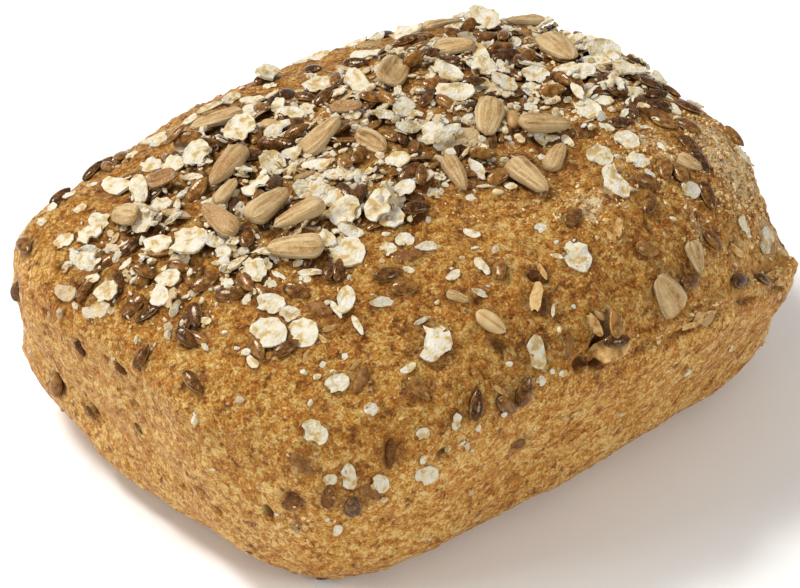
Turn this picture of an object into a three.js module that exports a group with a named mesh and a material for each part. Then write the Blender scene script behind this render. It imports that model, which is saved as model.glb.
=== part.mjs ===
// A seeded wholegrain roll, baked in a small tin. Its sides lean out from a flat base to a soft ledge, which
// the dough formed on the rim of the tin. Above it the top swells to a low dome with its crown off centre.
// Units are millimetres. +Z is up, +X runs along the longer side, and the origin is the middle of the base.
import * as THREE from "three";
import { mergeVertices } from "three/addons/utils/BufferGeometryUtils.js";

const { lerp, clamp, smoothstep, euclideanModulo, radToDeg } = THREE.MathUtils;

// Driving dimensions
const LENGTH = 119; // along X at the rim, without the ledge
const WIDTH = 97.5; // the same, along Y
const HEIGHT = 50.5; // base to crown
const RIM_HEIGHT = 29.5; // base to ledge
const BASE_INSET = 4; // how far the sides lean out between base and ledge
const EDGE_RADIUS = 14; // rounding between base and sides
const LEDGE = 1.7; // how far it stands proud at the +X end
const LEDGE_START = -0.5; // share of the half length where the ledge begins
const LEDGE_SOFTNESS = 3; // half the height over which the ledge fades out

// Corner sharpness: 2 is an ellipse, and a higher power squares its corners
const BASE_POWER = 7;
const RIM_POWER = 3.2;
const CROWN_POWER = 2;

// Curves
const LEAN_POWER = 1.4; // the sides lean more at their foot
const SHOULDER_POWER = 2.75; // how full the dome's shoulder is
const CROWN_FLATNESS = 1.8; // how slowly the dome falls away from its crown

// Unevenness of hand-shaped dough
const CROWN_SHIFT = new THREE.Vector2(8.4, -7.6); // from the middle of the tin
const SIDE_BOW = 2; // the long sides bend this far towards +Y at both ends
const RIM_TILT = 4.3; // the ledge is this much lower at the +X end, and higher at the other
const HEIGHT_DROP = new THREE.Vector2(0.017, 0.01); // share of height lost at the +X end and +Y side
// Each swell or dent lies in a direction in degrees from +X, at a height, and stands out by a depth
const SWELLS = [
  { direction: 175, height: 3, depth: 4.4, spread: 26, rise: 9 }, // foot of the -X end
  { direction: -44, height: 21.5, depth: 2.2, spread: 14, rise: 4 }, // ledge's overhang at a corner
  { direction: -42, height: 29, depth: -1.8, spread: 18, rise: 3.2 }, // hollow above that overhang
  { direction: 129, height: 36, depth: -3.8, spread: 20, rise: 7.5 }, // slack flank of the dome
  { direction: 145, height: 30, depth: 2.3, spread: 14, rise: 8 }, // shoulder beside it
];
// Low waves over the crust
const LUMPS = [
  { wavelength: 46, depth: 0.34, phase: 0.6 },
  { wavelength: 27, depth: 0.24, phase: 2.1 },
  { wavelength: 15, depth: 0.13, phase: 4.4 },
];
const LUMP_FREE_HEIGHT = 9; // the lumps grow to their full depth up to this height
const CALM_RADIUS = 32; // swells fade out nearer to the upright axis than this

// Tolerances
const LEVEL_BASE = 0.01; // a point lower than this belongs to the flat base
const SAME_POINT = 1e-6;

// Mesh density
const SEGMENTS = 92;
const BASE_RINGS = 3;
const EDGE_RINGS = 6;
const SIDE_RINGS = 5;
const LEDGE_RINGS = 4;
const DOME_RINGS = 18;

const QUARTER_TURN = Math.PI / 2;
const domeRise = HEIGHT - RIM_HEIGHT;

/** Evenly spaced shares from just above 0 up to 1. */
const steps = (count) => Array.from({ length: count }, (_, i) => (i + 1) / count);

/** The roll's half section, from the middle of the base round to the crown, as (share of the plan, height). */
function halfSection() {
  const ledgeFoot = RIM_HEIGHT - LEDGE_SOFTNESS;
  const edge = (t) => EDGE_RADIUS * (1 - Math.cos(t * QUARTER_TURN));
  const dome = (t) => [
    Math.cos(t * QUARTER_TURN) ** (2 / SHOULDER_POWER),
    RIM_HEIGHT + domeRise * Math.sin(t * QUARTER_TURN) ** (2 / CROWN_FLATNESS),
  ];
  const section = [
    [0, 0],
    ...steps(BASE_RINGS).map((t) => [t, 0]),
    ...steps(EDGE_RINGS).map((t) => [1, edge(t)]),
    ...steps(SIDE_RINGS).map((t) => [1, lerp(EDGE_RADIUS, ledgeFoot, t)]),
    ...steps(LEDGE_RINGS).map((t) => [1, lerp(ledgeFoot, RIM_HEIGHT, t)]),
    ...steps(DOME_RINGS).slice(0, -1).map(dome),
    [0, HEIGHT],
  ];
  return section.map(([share, height]) => new THREE.Vector2(share, height));
}

/** A bell curve: 1 at 0, and fading out past 1. */
const bell = (x) => Math.exp(-(x ** 2));

/** Share of the dome's rise reached at a height: 0 at the rim and 1 at the crown. */
const riseAt = (height) => clamp((height - RIM_HEIGHT) / domeRise, 0, 1);

/** How far the side stands inside the rim's plan at a height, negative where the ledge stands proud. */
function insetAt(height, endShare) {
  const belowEdge = clamp(1 - height / EDGE_RADIUS, 0, 1);
  const rounding = EDGE_RADIUS * (1 - Math.sqrt(1 - belowEdge ** 2));
  const upSide = clamp((height - EDGE_RADIUS) / (RIM_HEIGHT - EDGE_RADIUS), 0, 1);
  const lean = BASE_INSET * (1 - upSide) ** LEAN_POWER;
  const ledge = LEDGE * smoothstep(endShare, LEDGE_START, 1) * bell((height - RIM_HEIGHT) / LEDGE_SOFTNESS);
  return rounding + lean - ledge;
}

/** The plan's corner power at a height. */
function cornerPowerAt(height) {
  const upDome = Math.asin(riseAt(height) ** (CROWN_FLATNESS / 2)) / QUARTER_TURN;
  const sidePower = lerp(BASE_POWER, RIM_POWER, clamp(height / RIM_HEIGHT, 0, 1));
  return lerp(sidePower, CROWN_POWER, upDome);
}

/** Stretches the lathe's circle to the roll's plan at the point's height. */
function squareUp(point) {
  const share = Math.hypot(point.x, point.y);
  const along = point.x / (share || 1);
  const across = point.y / (share || 1);
  const power = cornerPowerAt(point.z);
  const reach = share * (Math.abs(along) ** power + Math.abs(across) ** power || 1) ** (-1 / power);
  const inset = insetAt(point.z, along);
  point.x = reach * along * (LENGTH / 2 - inset);
  point.y = reach * across * (WIDTH / 2 - inset);
}

/** Pulls the crown off centre, bends the sides and tilts the rim. */
function slump(point) {
  const crownPull = riseAt(point.z) ** CROWN_FLATNESS;
  point.x += CROWN_SHIFT.x * crownPull;
  point.y += CROWN_SHIFT.y * crownPull;
  const endShare = point.x / (LENGTH / 2);
  const sideShare = point.y / (WIDTH / 2);
  const nearRim = point.z < RIM_HEIGHT ? point.z / RIM_HEIGHT : 1 - riseAt(point.z);
  point.y += SIDE_BOW * endShare ** 2;
  point.z *= 1 - HEIGHT_DROP.x * endShare - HEIGHT_DROP.y * sideShare;
  point.z -= RIM_TILT * endShare * nearRim;
}

/** How far the swells and dents move a point outwards. */
function swellAt({ x, y, z }) {
  const direction = radToDeg(Math.atan2(y / WIDTH, x / LENGTH));
  const clearOfAxis = clamp(Math.hypot(x, y) / CALM_RADIUS, 0, 1) ** 2;
  let depth = 0;
  for (const swell of SWELLS) {
    const aside = euclideanModulo(direction - swell.direction + 180, 360) - 180;
    depth += swell.depth * bell(aside / swell.spread) * bell((z - swell.height) / swell.rise);
  }
  return depth * clearOfAxis;
}

/** How far the low waves over the crust move a point outwards. */
function lumpAt({ x, y, z }) {
  let depth = 0;
  for (const { wavelength, depth: height, phase } of LUMPS) {
    const k = (2 * Math.PI) / wavelength;
    const overTop = Math.sin(k * x + phase) * Math.cos(k * y - phase);
    const upSides = Math.sin(k * (y - x / 2) + 2 * phase) * Math.cos(k * z);
    depth += height * (overTop + upSides);
  }
  return depth * smoothstep(z, 0, LUMP_FREE_HEIGHT);
}

/** Takes a point of the round lathe, whose radius is a share of the plan, to its place on the roll. */
function placeOnRoll(point) {
  squareUp(point);
  slump(point);
  const sideways = new THREE.Vector3(point.x, point.y, 0).normalize();
  const outwards = new THREE.Vector3(point.x, point.y, Math.max(0, point.z - RIM_HEIGHT)).normalize();
  const swell = swellAt(point);
  const lump = point.z > LEVEL_BASE ? lumpAt(point) : 0;
  point.addScaledVector(sideways, swell);
  point.addScaledVector(outwards, lump);
}

/** The crust as one closed surface standing on the base plane, with the origin in the middle of its base. */
function rollGeometry() {
  const lathe = new THREE.LatheGeometry(halfSection(), SEGMENTS);
  lathe.rotateX(QUARTER_TURN);
  lathe.deleteAttribute("normal");
  lathe.deleteAttribute("uv");
  const crust = mergeVertices(lathe, SAME_POINT);
  const places = crust.getAttribute("position");
  const point = new THREE.Vector3();
  for (let i = 0; i < places.count; i++) {
    point.fromBufferAttribute(places, i);
    placeOnRoll(point);
    places.setXYZ(i, point.x, point.y, point.z);
  }
  crust.computeBoundingBox();
  const middle = crust.boundingBox.getCenter(new THREE.Vector3());
  crust.translate(-middle.x, -middle.y, -crust.boundingBox.min.z);
  crust.computeVertexNormals();
  return crust;
}

const crustMaterial = new THREE.MeshStandardMaterial({ color: 0xb58648, roughness: 0.72, metalness: 0 });

const breadRoll = new THREE.Mesh(rollGeometry(), crustMaterial);
breadRoll.name = "bread_roll";

const part = new THREE.Group();
part.add(breadRoll);

export default part;
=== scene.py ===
"""Seeded bread roll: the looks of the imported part.

The crust is the CAD solid, remeshed and given its dents, pits and torn places. On it lie
sunflower kernels, flaxseeds, oat flakes, crumbs, granules of baked dough, peeled skin and a few
cereal grains, one piece for each kind. What the photograph shows is laid where it shows it, by a
ray through its pixel down to the crust. The rest is scattered, as is all that lies on the far
side, which it doesn't show.
"""

import logging
import math
import random
from contextlib import contextmanager
from dataclasses import dataclass, field
from enum import Enum
from typing import Callable, Iterator

import bmesh
import bpy
import numpy as np
from mathutils import Matrix, Vector
from mathutils.bvhtree import BVHTree
from mathutils.kdtree import KDTree


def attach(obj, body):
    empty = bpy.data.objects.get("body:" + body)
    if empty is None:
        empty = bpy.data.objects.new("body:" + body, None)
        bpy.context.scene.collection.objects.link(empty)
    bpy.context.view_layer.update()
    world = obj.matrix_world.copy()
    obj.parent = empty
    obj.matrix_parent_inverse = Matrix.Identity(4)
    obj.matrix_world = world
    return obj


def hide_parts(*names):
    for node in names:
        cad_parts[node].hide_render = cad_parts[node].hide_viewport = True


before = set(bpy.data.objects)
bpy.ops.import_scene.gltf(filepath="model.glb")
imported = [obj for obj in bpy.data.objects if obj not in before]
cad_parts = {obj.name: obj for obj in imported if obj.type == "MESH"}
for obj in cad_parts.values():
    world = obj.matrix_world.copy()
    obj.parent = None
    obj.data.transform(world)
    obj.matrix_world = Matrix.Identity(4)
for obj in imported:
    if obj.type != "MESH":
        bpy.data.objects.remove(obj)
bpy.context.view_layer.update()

LOG = logging.getLogger("bread_roll")
MM = 0.001
CM2 = 1e-4
PER_MM = 1000.0
NODE = "bread_roll"
BODY = "root"
PHOTO_WIDTH = 800
PHOTO_HEIGHT = 588
QUARTER = math.pi / 2
APART = 50 * MM
HAIR = 0.01 * MM

# Where a ramp's steps lie, each with its level of grey or its colour.
Levels = tuple[tuple[float, float], ...]
Tones = tuple[tuple[float, str], ...]


# ---------------------------------------------------------------- small tools


def linear(code: str) -> tuple[float, float, float, float]:
    """Turns an sRGB colour into the linear one that Blender works in.

    Args:
        code: the colour as six hex digits.

    Returns:
        Linear red, green, blue, and an alpha of 1.
    """
    shares = [int(code[i:i + 2], 16) / 255 for i in (0, 2, 4)]
    return (*[c / 12.92 if c <= 0.04045 else ((c + 0.055) / 1.055) ** 2.4 for c in shares], 1.0)


def grey(level: float) -> tuple[float, float, float, float]:
    """Gives a grey of that linear level."""
    return (level, level, level, 1.0)


def greys(levels: Levels) -> list[tuple[float, tuple[float, float, float, float]]]:
    """Turns a ramp's levels into stops of grey."""
    return [(place, grey(level)) for place, level in levels]


def colours(tones: Tones) -> list[tuple[float, tuple[float, float, float, float]]]:
    """Turns a ramp's tones into stops of colour."""
    return [(place, linear(code)) for place, code in tones]


def smooth_step(value: float) -> float:
    """Eases a share from 0 to 1, and holds it there outside."""
    share = min(1.0, max(0.0, value))
    return share * share * (3 - 2 * share)


def smooth_steps(values: np.ndarray) -> np.ndarray:
    """Eases shares from 0 to 1, and holds them there outside."""
    shares = np.clip(values, 0, 1)
    return shares * shares * (3 - 2 * shares)


def only(*pieces: bpy.types.Object) -> None:
    """Selects these pieces and nothing else, with the first one active."""
    for other in bpy.context.selected_objects:
        other.select_set(False)
    for piece in pieces:
        piece.select_set(True)
    bpy.context.view_layer.objects.active = pieces[0]


def settle(piece: bpy.types.Object) -> None:
    """Moves a piece's place, turn and scale into its mesh."""
    only(piece)
    bpy.ops.object.transform_apply(location=True, rotation=True, scale=True)


def add_modifier(piece: bpy.types.Object, kind: str, **settings: object) -> None:
    """Adds one modifier with its settings and applies it."""
    only(piece)
    modifier = piece.modifiers.new(kind.lower(), kind)
    for name, value in settings.items():
        setattr(modifier, name, value)
    bpy.ops.object.modifier_apply(modifier=modifier.name)


def clouds(name: str, size: float, depth: int = 2) -> bpy.types.Texture:
    """Makes a cloudy relief for the Displace modifier.

    Args:
        name: the texture's name.
        size: how far apart its swells lie, in metres.
        depth: how many finer layers it has.

    Returns:
        The texture.
    """
    texture = bpy.data.textures.new(name, "CLOUDS")
    texture.noise_scale = size
    texture.noise_depth = depth
    return texture


@contextmanager
def editing(piece: bpy.types.Object) -> Iterator[bmesh.types.BMesh]:
    """Opens a piece in edit mode, where its vertices are picked in code and shaped by operators."""
    only(piece)
    bpy.ops.object.mode_set(mode="EDIT")
    bpy.ops.mesh.select_mode(type="VERT")
    yield bmesh.from_edit_mesh(piece.data)
    bpy.ops.object.mode_set(mode="OBJECT")


def pick(piece: bpy.types.Object, wanted: Callable[[Vector], bool]) -> None:
    """Selects, in edit mode, the vertices whose place is wanted."""
    mesh = bmesh.from_edit_mesh(piece.data)
    for vertex in mesh.verts:
        vertex.select_set(wanted(vertex.co))
    mesh.select_flush(True)
    bmesh.update_edit_mesh(piece.data)


def mark(piece: bpy.types.Object, name: str, values: object) -> None:
    """Stores a number for each vertex, or one for all, as an attribute that the finish reads."""
    attribute = piece.data.attributes.new(name, "FLOAT", "POINT")
    count = len(piece.data.vertices)
    attribute.data.foreach_set("value", np.broadcast_to(np.asarray(values, np.float32), count).copy())


def add_node(tree: bpy.types.NodeTree, kind: str, inputs: dict | None = None,
             stops: list | None = None, out: int | str = 0, **settings: object) -> bpy.types.NodeSocket:
    """Adds one shader node with its settings, and fills or links its inputs.

    Args:
        tree: the material's node tree.
        kind: the node's type name, without its ShaderNode prefix.
        inputs: a value, or the socket to link from, for each input by name or number.
        stops: for a colour ramp, its (place, colour) pairs in order.
        out: which output to give back.
        settings: the node's own properties.

    Returns:
        The node's output socket.
    """
    node = tree.nodes.new("ShaderNode" + kind)
    for name, value in settings.items():
        setattr(node, name, value)
    for number, (place, colour) in enumerate(stops or []):
        stop = node.color_ramp.elements[number] if number < 2 else node.color_ramp.elements.new(place)
        stop.position = place
        stop.color = colour
    for key, value in (inputs or {}).items():
        if isinstance(value, bpy.types.NodeSocket):
            tree.links.new(value, node.inputs[key])
        else:
            node.inputs[key].default_value = value
    return node.outputs[out]


# ---------------------------------------------------------------- the photograph's view


@dataclass(frozen=True)
class PhotoView:
    """The camera that sees the roll as the photograph does, found by fitting the CAD outline to it."""

    azimuth: float = math.radians(-40.15)
    elevation: float = math.radians(37.46)
    distance: float = 700 * MM
    pixels_per_mm: float = 5.962
    aside: float = 1.708 * MM
    above: float = 3.814 * MM
    middle_height: float = 22.4 * MM
    sensor: float = 36.0
    skimming: float = 0.15
    flattest: float = 0.25

    def axes(self) -> tuple[Vector, Vector, Vector]:
        """Gives the directions to the picture's right, to its top and back to the camera."""
        flat = math.cos(self.elevation)
        back = Vector((math.sin(self.azimuth) * flat, -math.cos(self.azimuth) * flat,
                       math.sin(self.elevation)))
        right = Vector((math.cos(self.azimuth), math.sin(self.azimuth), 0))
        return right, back.cross(right), back

    def focal_pixels(self) -> float:
        """Gives the focal length in the photograph's pixels."""
        return self.pixels_per_mm * self.distance / MM

    def place(self) -> Vector:
        """Gives where the camera stands."""
        right, up, back = self.axes()
        middle = Vector((0, 0, self.middle_height)) - right * self.aside - up * self.above
        return middle + back * self.distance

    def ray(self, px: float, py: float) -> Vector:
        """Gives the direction in which the camera sees a pixel of the photograph."""
        right, up, back = self.axes()
        across = (px - PHOTO_WIDTH / 2) / self.focal_pixels()
        upward = (PHOTO_HEIGHT / 2 - py) / self.focal_pixels()
        return (right * across + up * upward - back).normalized()

    def meet(self, px: float, py: float, point: Vector, normal: Vector) -> Vector:
        """Finds where a pixel's ray meets the plane through a point, or gives the point if it skims."""
        way = self.ray(px, py)
        start = self.place()
        if abs(way.dot(normal)) < self.skimming:
            return point
        return start + way * ((point - start).dot(normal) / way.dot(normal))

    def along(self, turn: float, normal: Vector) -> tuple[Vector, float]:
        """Turns a direction in the picture into one in a surface.

        Args:
            turn: degrees from the picture's right, counterclockwise.
            normal: the surface's outward direction.

        Returns:
            The direction in the surface, and how much longer a thing is there than it looks.
        """
        right, up, back = self.axes()
        seen = right * math.cos(math.radians(turn)) + up * math.sin(math.radians(turn))
        facing = max(self.flattest, back.dot(normal))
        lying = seen - back * (seen.dot(normal) / facing)
        return lying.normalized(), lying.length

    def add_camera(self) -> None:
        """Adds the camera and makes it the scene's."""
        right, up, back = self.axes()
        lens = bpy.data.cameras.new("photo_view")
        lens.sensor_width = self.sensor
        lens.lens = self.focal_pixels() * self.sensor / PHOTO_WIDTH
        lens.clip_start = 10 * MM
        camera = bpy.data.objects.new("photo_view", lens)
        turn = Matrix((right, up, back)).transposed().to_4x4()
        camera.matrix_world = Matrix.Translation(self.place()) @ turn
        bpy.context.scene.collection.objects.link(camera)
        bpy.context.scene.camera = camera


VIEW = PhotoView()


@dataclass(frozen=True)
class Studio:
    """A plain pale floor under soft light, mostly from above and behind to the picture's left.

    Where a lamp stands is counted to the picture's right, straight up, and back to the camera.
    """

    floor_side: float = 3.0
    floor_colour: str = "fbfaf7"
    floor_roughness: float = 0.9
    sky: float = 0.42
    key_from: tuple[float, float, float] = (-0.5, 1.0, -0.3)
    left_from: tuple[float, float, float] = (-1.0, 0.3, 0.5)
    right_from: tuple[float, float, float] = (0.9, 0.1, 1.0)
    key_energy: float = 8.6
    lamp_side: float = 0.26
    left_energy: float = 2.65
    right_energy: float = 3.05

    def add_floor(self) -> None:
        """Lays the floor, flush with the roll's underside."""
        bpy.ops.mesh.primitive_plane_add(size=self.floor_side)
        floor = bpy.context.object
        floor.name = "floor"
        finish = bpy.data.materials.new("matt_paper_floor")
        finish.use_nodes = True
        shader = finish.node_tree.nodes["Principled BSDF"]
        shader.inputs["Base Color"].default_value = linear(self.floor_colour)
        shader.inputs["Roughness"].default_value = self.floor_roughness
        floor.data.materials.append(finish)

    def add_light(self, name: str, stands: tuple[float, float, float], energy: float) -> None:
        """Adds a square soft light that stands a metre from the roll, that way, and faces it."""
        right, up, back = VIEW.axes()
        aside, high, forward = stands
        toward = right * aside + Vector((0, 0, high)) + back * forward
        lamp = bpy.data.lights.new(name, "AREA")
        lamp.energy = energy
        lamp.size = self.lamp_side
        light = bpy.data.objects.new(name, lamp)
        light.location = toward.normalized()
        light.rotation_euler = toward.to_track_quat("Z", "Y").to_euler()
        bpy.context.scene.collection.objects.link(light)

    def build(self) -> None:
        """Sets the world, the floor and the three lights."""
        scene = bpy.context.scene
        scene.view_settings.view_transform = "Standard"
        world = bpy.data.worlds.new("white_room")
        world.use_nodes = True
        sky = world.node_tree.nodes["Background"]
        sky.inputs["Color"].default_value = grey(1.0)
        sky.inputs["Strength"].default_value = self.sky
        scene.world = world
        self.add_floor()
        self.add_light("key", self.key_from, self.key_energy)
        self.add_light("left_fill", self.left_from, self.left_energy)
        self.add_light("right_fill", self.right_from, self.right_energy)


# ---------------------------------------------------------------- finishes


@dataclass(frozen=True)
class Finish:
    """A material that is built from nodes: what all the finishes share.

    gloss is the share of a smooth surface's mirror light that is left, as half of what the shader
    calls 1, since pores and flour swallow some. glint is the tint that the photograph's mirror lights
    have on it.
    """

    name: str
    roughness: float
    ior: float
    gloss: float
    glint: str = "ffe6c4"

    def start(self) -> tuple[bpy.types.Material, bpy.types.NodeTree, bpy.types.NodeSocket]:
        """Makes the material with its shader, and Object coordinates counted in millimetres.

        Returns:
            The material, its node tree and the coordinates.
        """
        finish = bpy.data.materials.new(self.name)
        finish.use_nodes = True
        tree = finish.node_tree
        shader = tree.nodes["Principled BSDF"]
        shader.inputs["Roughness"].default_value = self.roughness
        shader.inputs["IOR"].default_value = self.ior
        shader.inputs["Specular IOR Level"].default_value = self.gloss
        shader.inputs["Specular Tint"].default_value = linear(self.glint)
        place = add_node(tree, "TexCoord", out="Object")
        mm = add_node(tree, "Mapping", {"Vector": place, "Scale": (PER_MM,) * 3})
        return finish, tree, mm

    def close(self, tree: bpy.types.NodeTree, colour: bpy.types.NodeSocket,
              height: bpy.types.NodeSocket, depth: float) -> None:
        """Joins the colour and the relief, depth metres from low to high, to the shader."""
        shader = tree.nodes["Principled BSDF"]
        bump = add_node(tree, "Bump", {"Height": height, "Distance": depth})
        tree.links.new(colour, shader.inputs["Base Color"])
        tree.links.new(bump, shader.inputs["Normal"])


@dataclass(frozen=True)
class CrustPatterns:
    """The patterns that the crust's colour and relief share, as node sockets.

    height is the height in millimetres, bent the coordinates bent by grit, and the others are
    shares from 0 to 1: patch a few mm wide, fine like grit, granule out from a granule's middle,
    broad the slow drift of the browning, and small the grit with each granule's shade.
    """

    height: bpy.types.NodeSocket
    bent: bpy.types.NodeSocket
    patch: bpy.types.NodeSocket
    fine: bpy.types.NodeSocket
    granule: bpy.types.NodeSocket
    broad: bpy.types.NodeSocket
    small: bpy.types.NodeSocket


@dataclass(frozen=True)
class BakedCrust(Finish):
    """Thin baked crust of a wholegrain dough: matt golden brown, mottled by bran and flour, with painted
    shade in its pores and torn slits and close beside what lies on it.

    Its tones go from burnt to toasted, golden and pale. The sizes and gaps of its patterns and the
    heights are in millimetres, and a pattern's share is how much of it is in a mixture.
    """

    name: str = "baked_wholegrain_crust"
    roughness: float = 0.45
    ior: float = 1.45
    gloss: float = 0.25
    tones: Tones = ((0.345, "7b4215"), (0.435, "a86a2a"), (0.515, "be8939"), (0.61, "d9b976"))
    bran: str = "6a3d1c"
    # shade is the colour of the painted shade in the pits and beside what lies on the crust.
    shade: str = "553016"
    flour: str = "e7d3a4"
    relief: float = 1.2 * MM
    drift_size: float = 12.0
    streak_size: float = 2.2
    streak_squash: tuple[float, float, float] = (330.0, 330.0, 800.0)
    patch_size: float = 2.4
    grit_size: float = 0.4
    granule_size: float = 0.85
    streak_share: float = 0.4
    patch_share: float = 0.55
    granule_share: float = 0.22
    speckle: float = 0.74
    speckle_base: float = -0.07
    browning_drift: float = 0.4
    crown_foot: float = 38.0
    crown_top: float = 56.0
    crown_drift: float = 24.0
    crown_tone: float = -0.03
    slit_gap: float = 3.1
    slit_line: Levels = ((0.02, 0.8), (0.09, 0.0))
    slit_kept: Levels = ((0.36, 1.0), (0.46, 0.0))
    slit_depth: float = -0.35
    fleck_gap: float = 2.1
    fleck_spot: Levels = ((0.12, 0.9), (0.26, 0.0))
    fleck_kept: Levels = ((0.2, 1.0), (0.28, 0.0))
    flour_gap: float = 0.9
    flour_spot: Levels = ((0.16, 0.5), (0.34, 0.0))
    flour_kept: Levels = ((0.55, 0.0), (0.7, 1.0))
    dusting: Levels = ((0.33, 0.0), (0.52, 0.8))
    rough_patches: float = 0.36
    domes: float = 0.3
    pressed_below: float = 26.0
    rough_above: float = 42.0
    pressed_relief: float = 0.36

    def patterns(self, tree: bpy.types.NodeTree, mm: bpy.types.NodeSocket) -> CrustPatterns:
        """Adds the patterns that the crust's colour and relief share.

        Args:
            tree: the material's node tree.
            mm: Object coordinates in millimetres.

        Returns:
            The patterns.
        """
        place = mm.node.inputs[0].links[0].from_socket
        # Browning drifts over a centimetre or two, and runs in streaks a few mm high along a wall.
        drift = add_node(tree, "TexNoise", {"Vector": mm, "Scale": 1 / self.drift_size, "Detail": 2.0})
        wide = add_node(tree, "Mapping", {"Vector": place, "Scale": self.streak_squash})
        streak = add_node(tree, "TexNoise",
                          {"Vector": wide, "Scale": 1 / self.streak_size, "Detail": 1.0})
        patch = add_node(tree, "TexNoise", {"Vector": mm, "Scale": 1 / self.patch_size,
                                            "Detail": 5.0, "Roughness": 0.62})
        fine = add_node(tree, "TexNoise", {"Vector": mm, "Scale": 1 / self.grit_size,
                                           "Detail": 3.0, "Roughness": 0.7})
        # The skin is a crust of granules under a millimetre wide, each of its own shade.
        bent = add_node(tree, "VectorMath", {0: mm, 1: fine.node.outputs["Color"]}, operation="ADD")
        granule = add_node(tree, "TexVoronoi", {"Vector": bent, "Scale": 1 / self.granule_size})
        shade = add_node(tree, "SeparateColor", {0: granule.node.outputs["Color"]})
        broad = add_node(tree, "Mix", {0: self.streak_share, 2: drift, 3: streak})
        return CrustPatterns(
            height=add_node(tree, "SeparateXYZ", {0: mm}, out=2), bent=bent, patch=patch, fine=fine,
            granule=granule,
            broad=add_node(tree, "Mix", {0: self.patch_share, 2: broad, 3: patch}),
            small=add_node(tree, "Mix", {0: self.granule_share, 2: fine, 3: shade}))

    def browning(self, tree: bpy.types.NodeTree, seen: CrustPatterns) -> bpy.types.NodeSocket:
        """Adds the crust's own colour, from burnt to pale.

        Args:
            tree: the material's node tree.
            seen: the crust's patterns.

        Returns:
            The colour.
        """
        speckle = add_node(tree, "Math", {0: seen.small, 1: self.speckle, 2: self.speckle_base},
                           operation="MULTIPLY_ADD")
        tone = add_node(tree, "Math", {0: seen.broad, 1: self.browning_drift, 2: speckle},
                        operation="MULTIPLY_ADD")
        # The top has browned more than the walls, which the tin kept pale.
        crowned = add_node(tree, "Math", {0: seen.broad, 1: self.crown_drift, 2: seen.height},
                           operation="MULTIPLY_ADD")
        crown = add_node(tree, "MapRange", {"Value": crowned, "From Min": self.crown_foot,
                                            "From Max": self.crown_top, "To Max": self.crown_tone})
        tone = add_node(tree, "Math", {0: tone, 1: crown})
        return add_node(tree, "ValToRGB", {0: tone}, stops=colours(self.tones))

    def slits(self, tree: bpy.types.NodeTree, seen: CrustPatterns) -> bpy.types.NodeSocket:
        """Adds the slits where the skin has torn, drawn dark as painted shade in the cracks.

        Args:
            tree: the material's node tree.
            seen: the crust's patterns.

        Returns:
            How much of a slit there is, from 0 to 1.
        """
        slit = add_node(tree, "TexVoronoi", {"Vector": seen.bent, "Scale": 1 / self.slit_gap},
                        feature="DISTANCE_TO_EDGE")
        line = add_node(tree, "ValToRGB", {0: slit}, stops=greys(self.slit_line))
        few = add_node(tree, "ValToRGB", {0: seen.patch}, stops=greys(self.slit_kept))
        return add_node(tree, "Math", {0: line, 1: few}, operation="MULTIPLY")

    def flecks(self, tree: bpy.types.NodeTree, seen: CrustPatterns, gap: float, spot: Levels,
               kept: Levels) -> bpy.types.NodeSocket:
        """Adds small spots that lie scattered.

        Args:
            tree: the material's node tree.
            seen: the crust's patterns.
            gap: how far apart the places are that could hold one, in millimetres.
            spot: the ramp from a spot's middle out.
            kept: the ramp that keeps some of the spots.

        Returns:
            How much of a spot there is, from 0 to 1.
        """
        cell = add_node(tree, "TexVoronoi", {"Vector": seen.bent, "Scale": 1 / gap})
        middle = add_node(tree, "ValToRGB", {0: cell}, stops=greys(spot))
        few = add_node(tree, "ValToRGB", {0: cell.node.outputs["Color"]}, stops=greys(kept))
        return add_node(tree, "Math", {0: middle, 1: few}, operation="MULTIPLY")

    def material(self) -> bpy.types.Material:
        """Builds the finish.

        Returns:
            The material.
        """
        finish, tree, mm = self.start()
        seen = self.patterns(tree, mm)
        colour = self.browning(tree, seen)
        # The torn slits are painted shade: dark lines in bran's colour, beside their cut in the relief.
        slit = self.slits(tree, seen)
        # Bran flecks a millimetre long are dark, and pale bits of flour and crumb lie between.
        dark = self.flecks(tree, seen, self.fleck_gap, self.fleck_spot, self.fleck_kept)
        light = self.flecks(tree, seen, self.flour_gap, self.flour_spot, self.flour_kept)
        floury = add_node(tree, "Attribute", out="Fac", attribute_name="flour")
        dusted = add_node(tree, "Math", {0: floury, 1: seen.small}, operation="MULTIPLY")
        dust = add_node(tree, "ValToRGB", {0: dusted}, stops=greys(self.dusting))
        # Painted shade, partly also darker baking: an attribute darkens the pits and the crust close beside
        # what lies on it.
        shade_and_browning = add_node(tree, "Attribute", out="Fac", attribute_name="shade_and_browning")
        for share, tint in ((light, self.flour), (dust, self.flour), (slit, self.bran),
                            (dark, self.bran), (shade_and_browning, self.shade)):
            colour = add_node(tree, "Mix", {0: share, 6: colour, 7: linear(tint)}, out=2,
                              data_type="RGBA")
        # Granules are domes, the torn slits are cut in, and grit is on all.
        dome = add_node(tree, "Math", {0: 1.0, 1: seen.granule}, operation="SUBTRACT")
        grit = add_node(tree, "Mix", {0: self.rough_patches, 2: seen.fine, 3: seen.patch})
        rough = add_node(tree, "Mix", {0: self.domes, 2: grit, 3: dome})
        cut = add_node(tree, "Math", {0: slit, 1: self.slit_depth, 2: rough},
                       operation="MULTIPLY_ADD")
        # The tin has pressed the walls smoother than the top.
        pressed = add_node(tree, "MapRange",
                           {"Value": seen.height, "From Min": self.pressed_below,
                            "From Max": self.rough_above, "To Min": self.pressed_relief})
        depth = add_node(tree, "Math", {0: cut, 1: pressed}, operation="MULTIPLY")
        self.close(tree, colour, depth, self.relief)
        return finish


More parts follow.
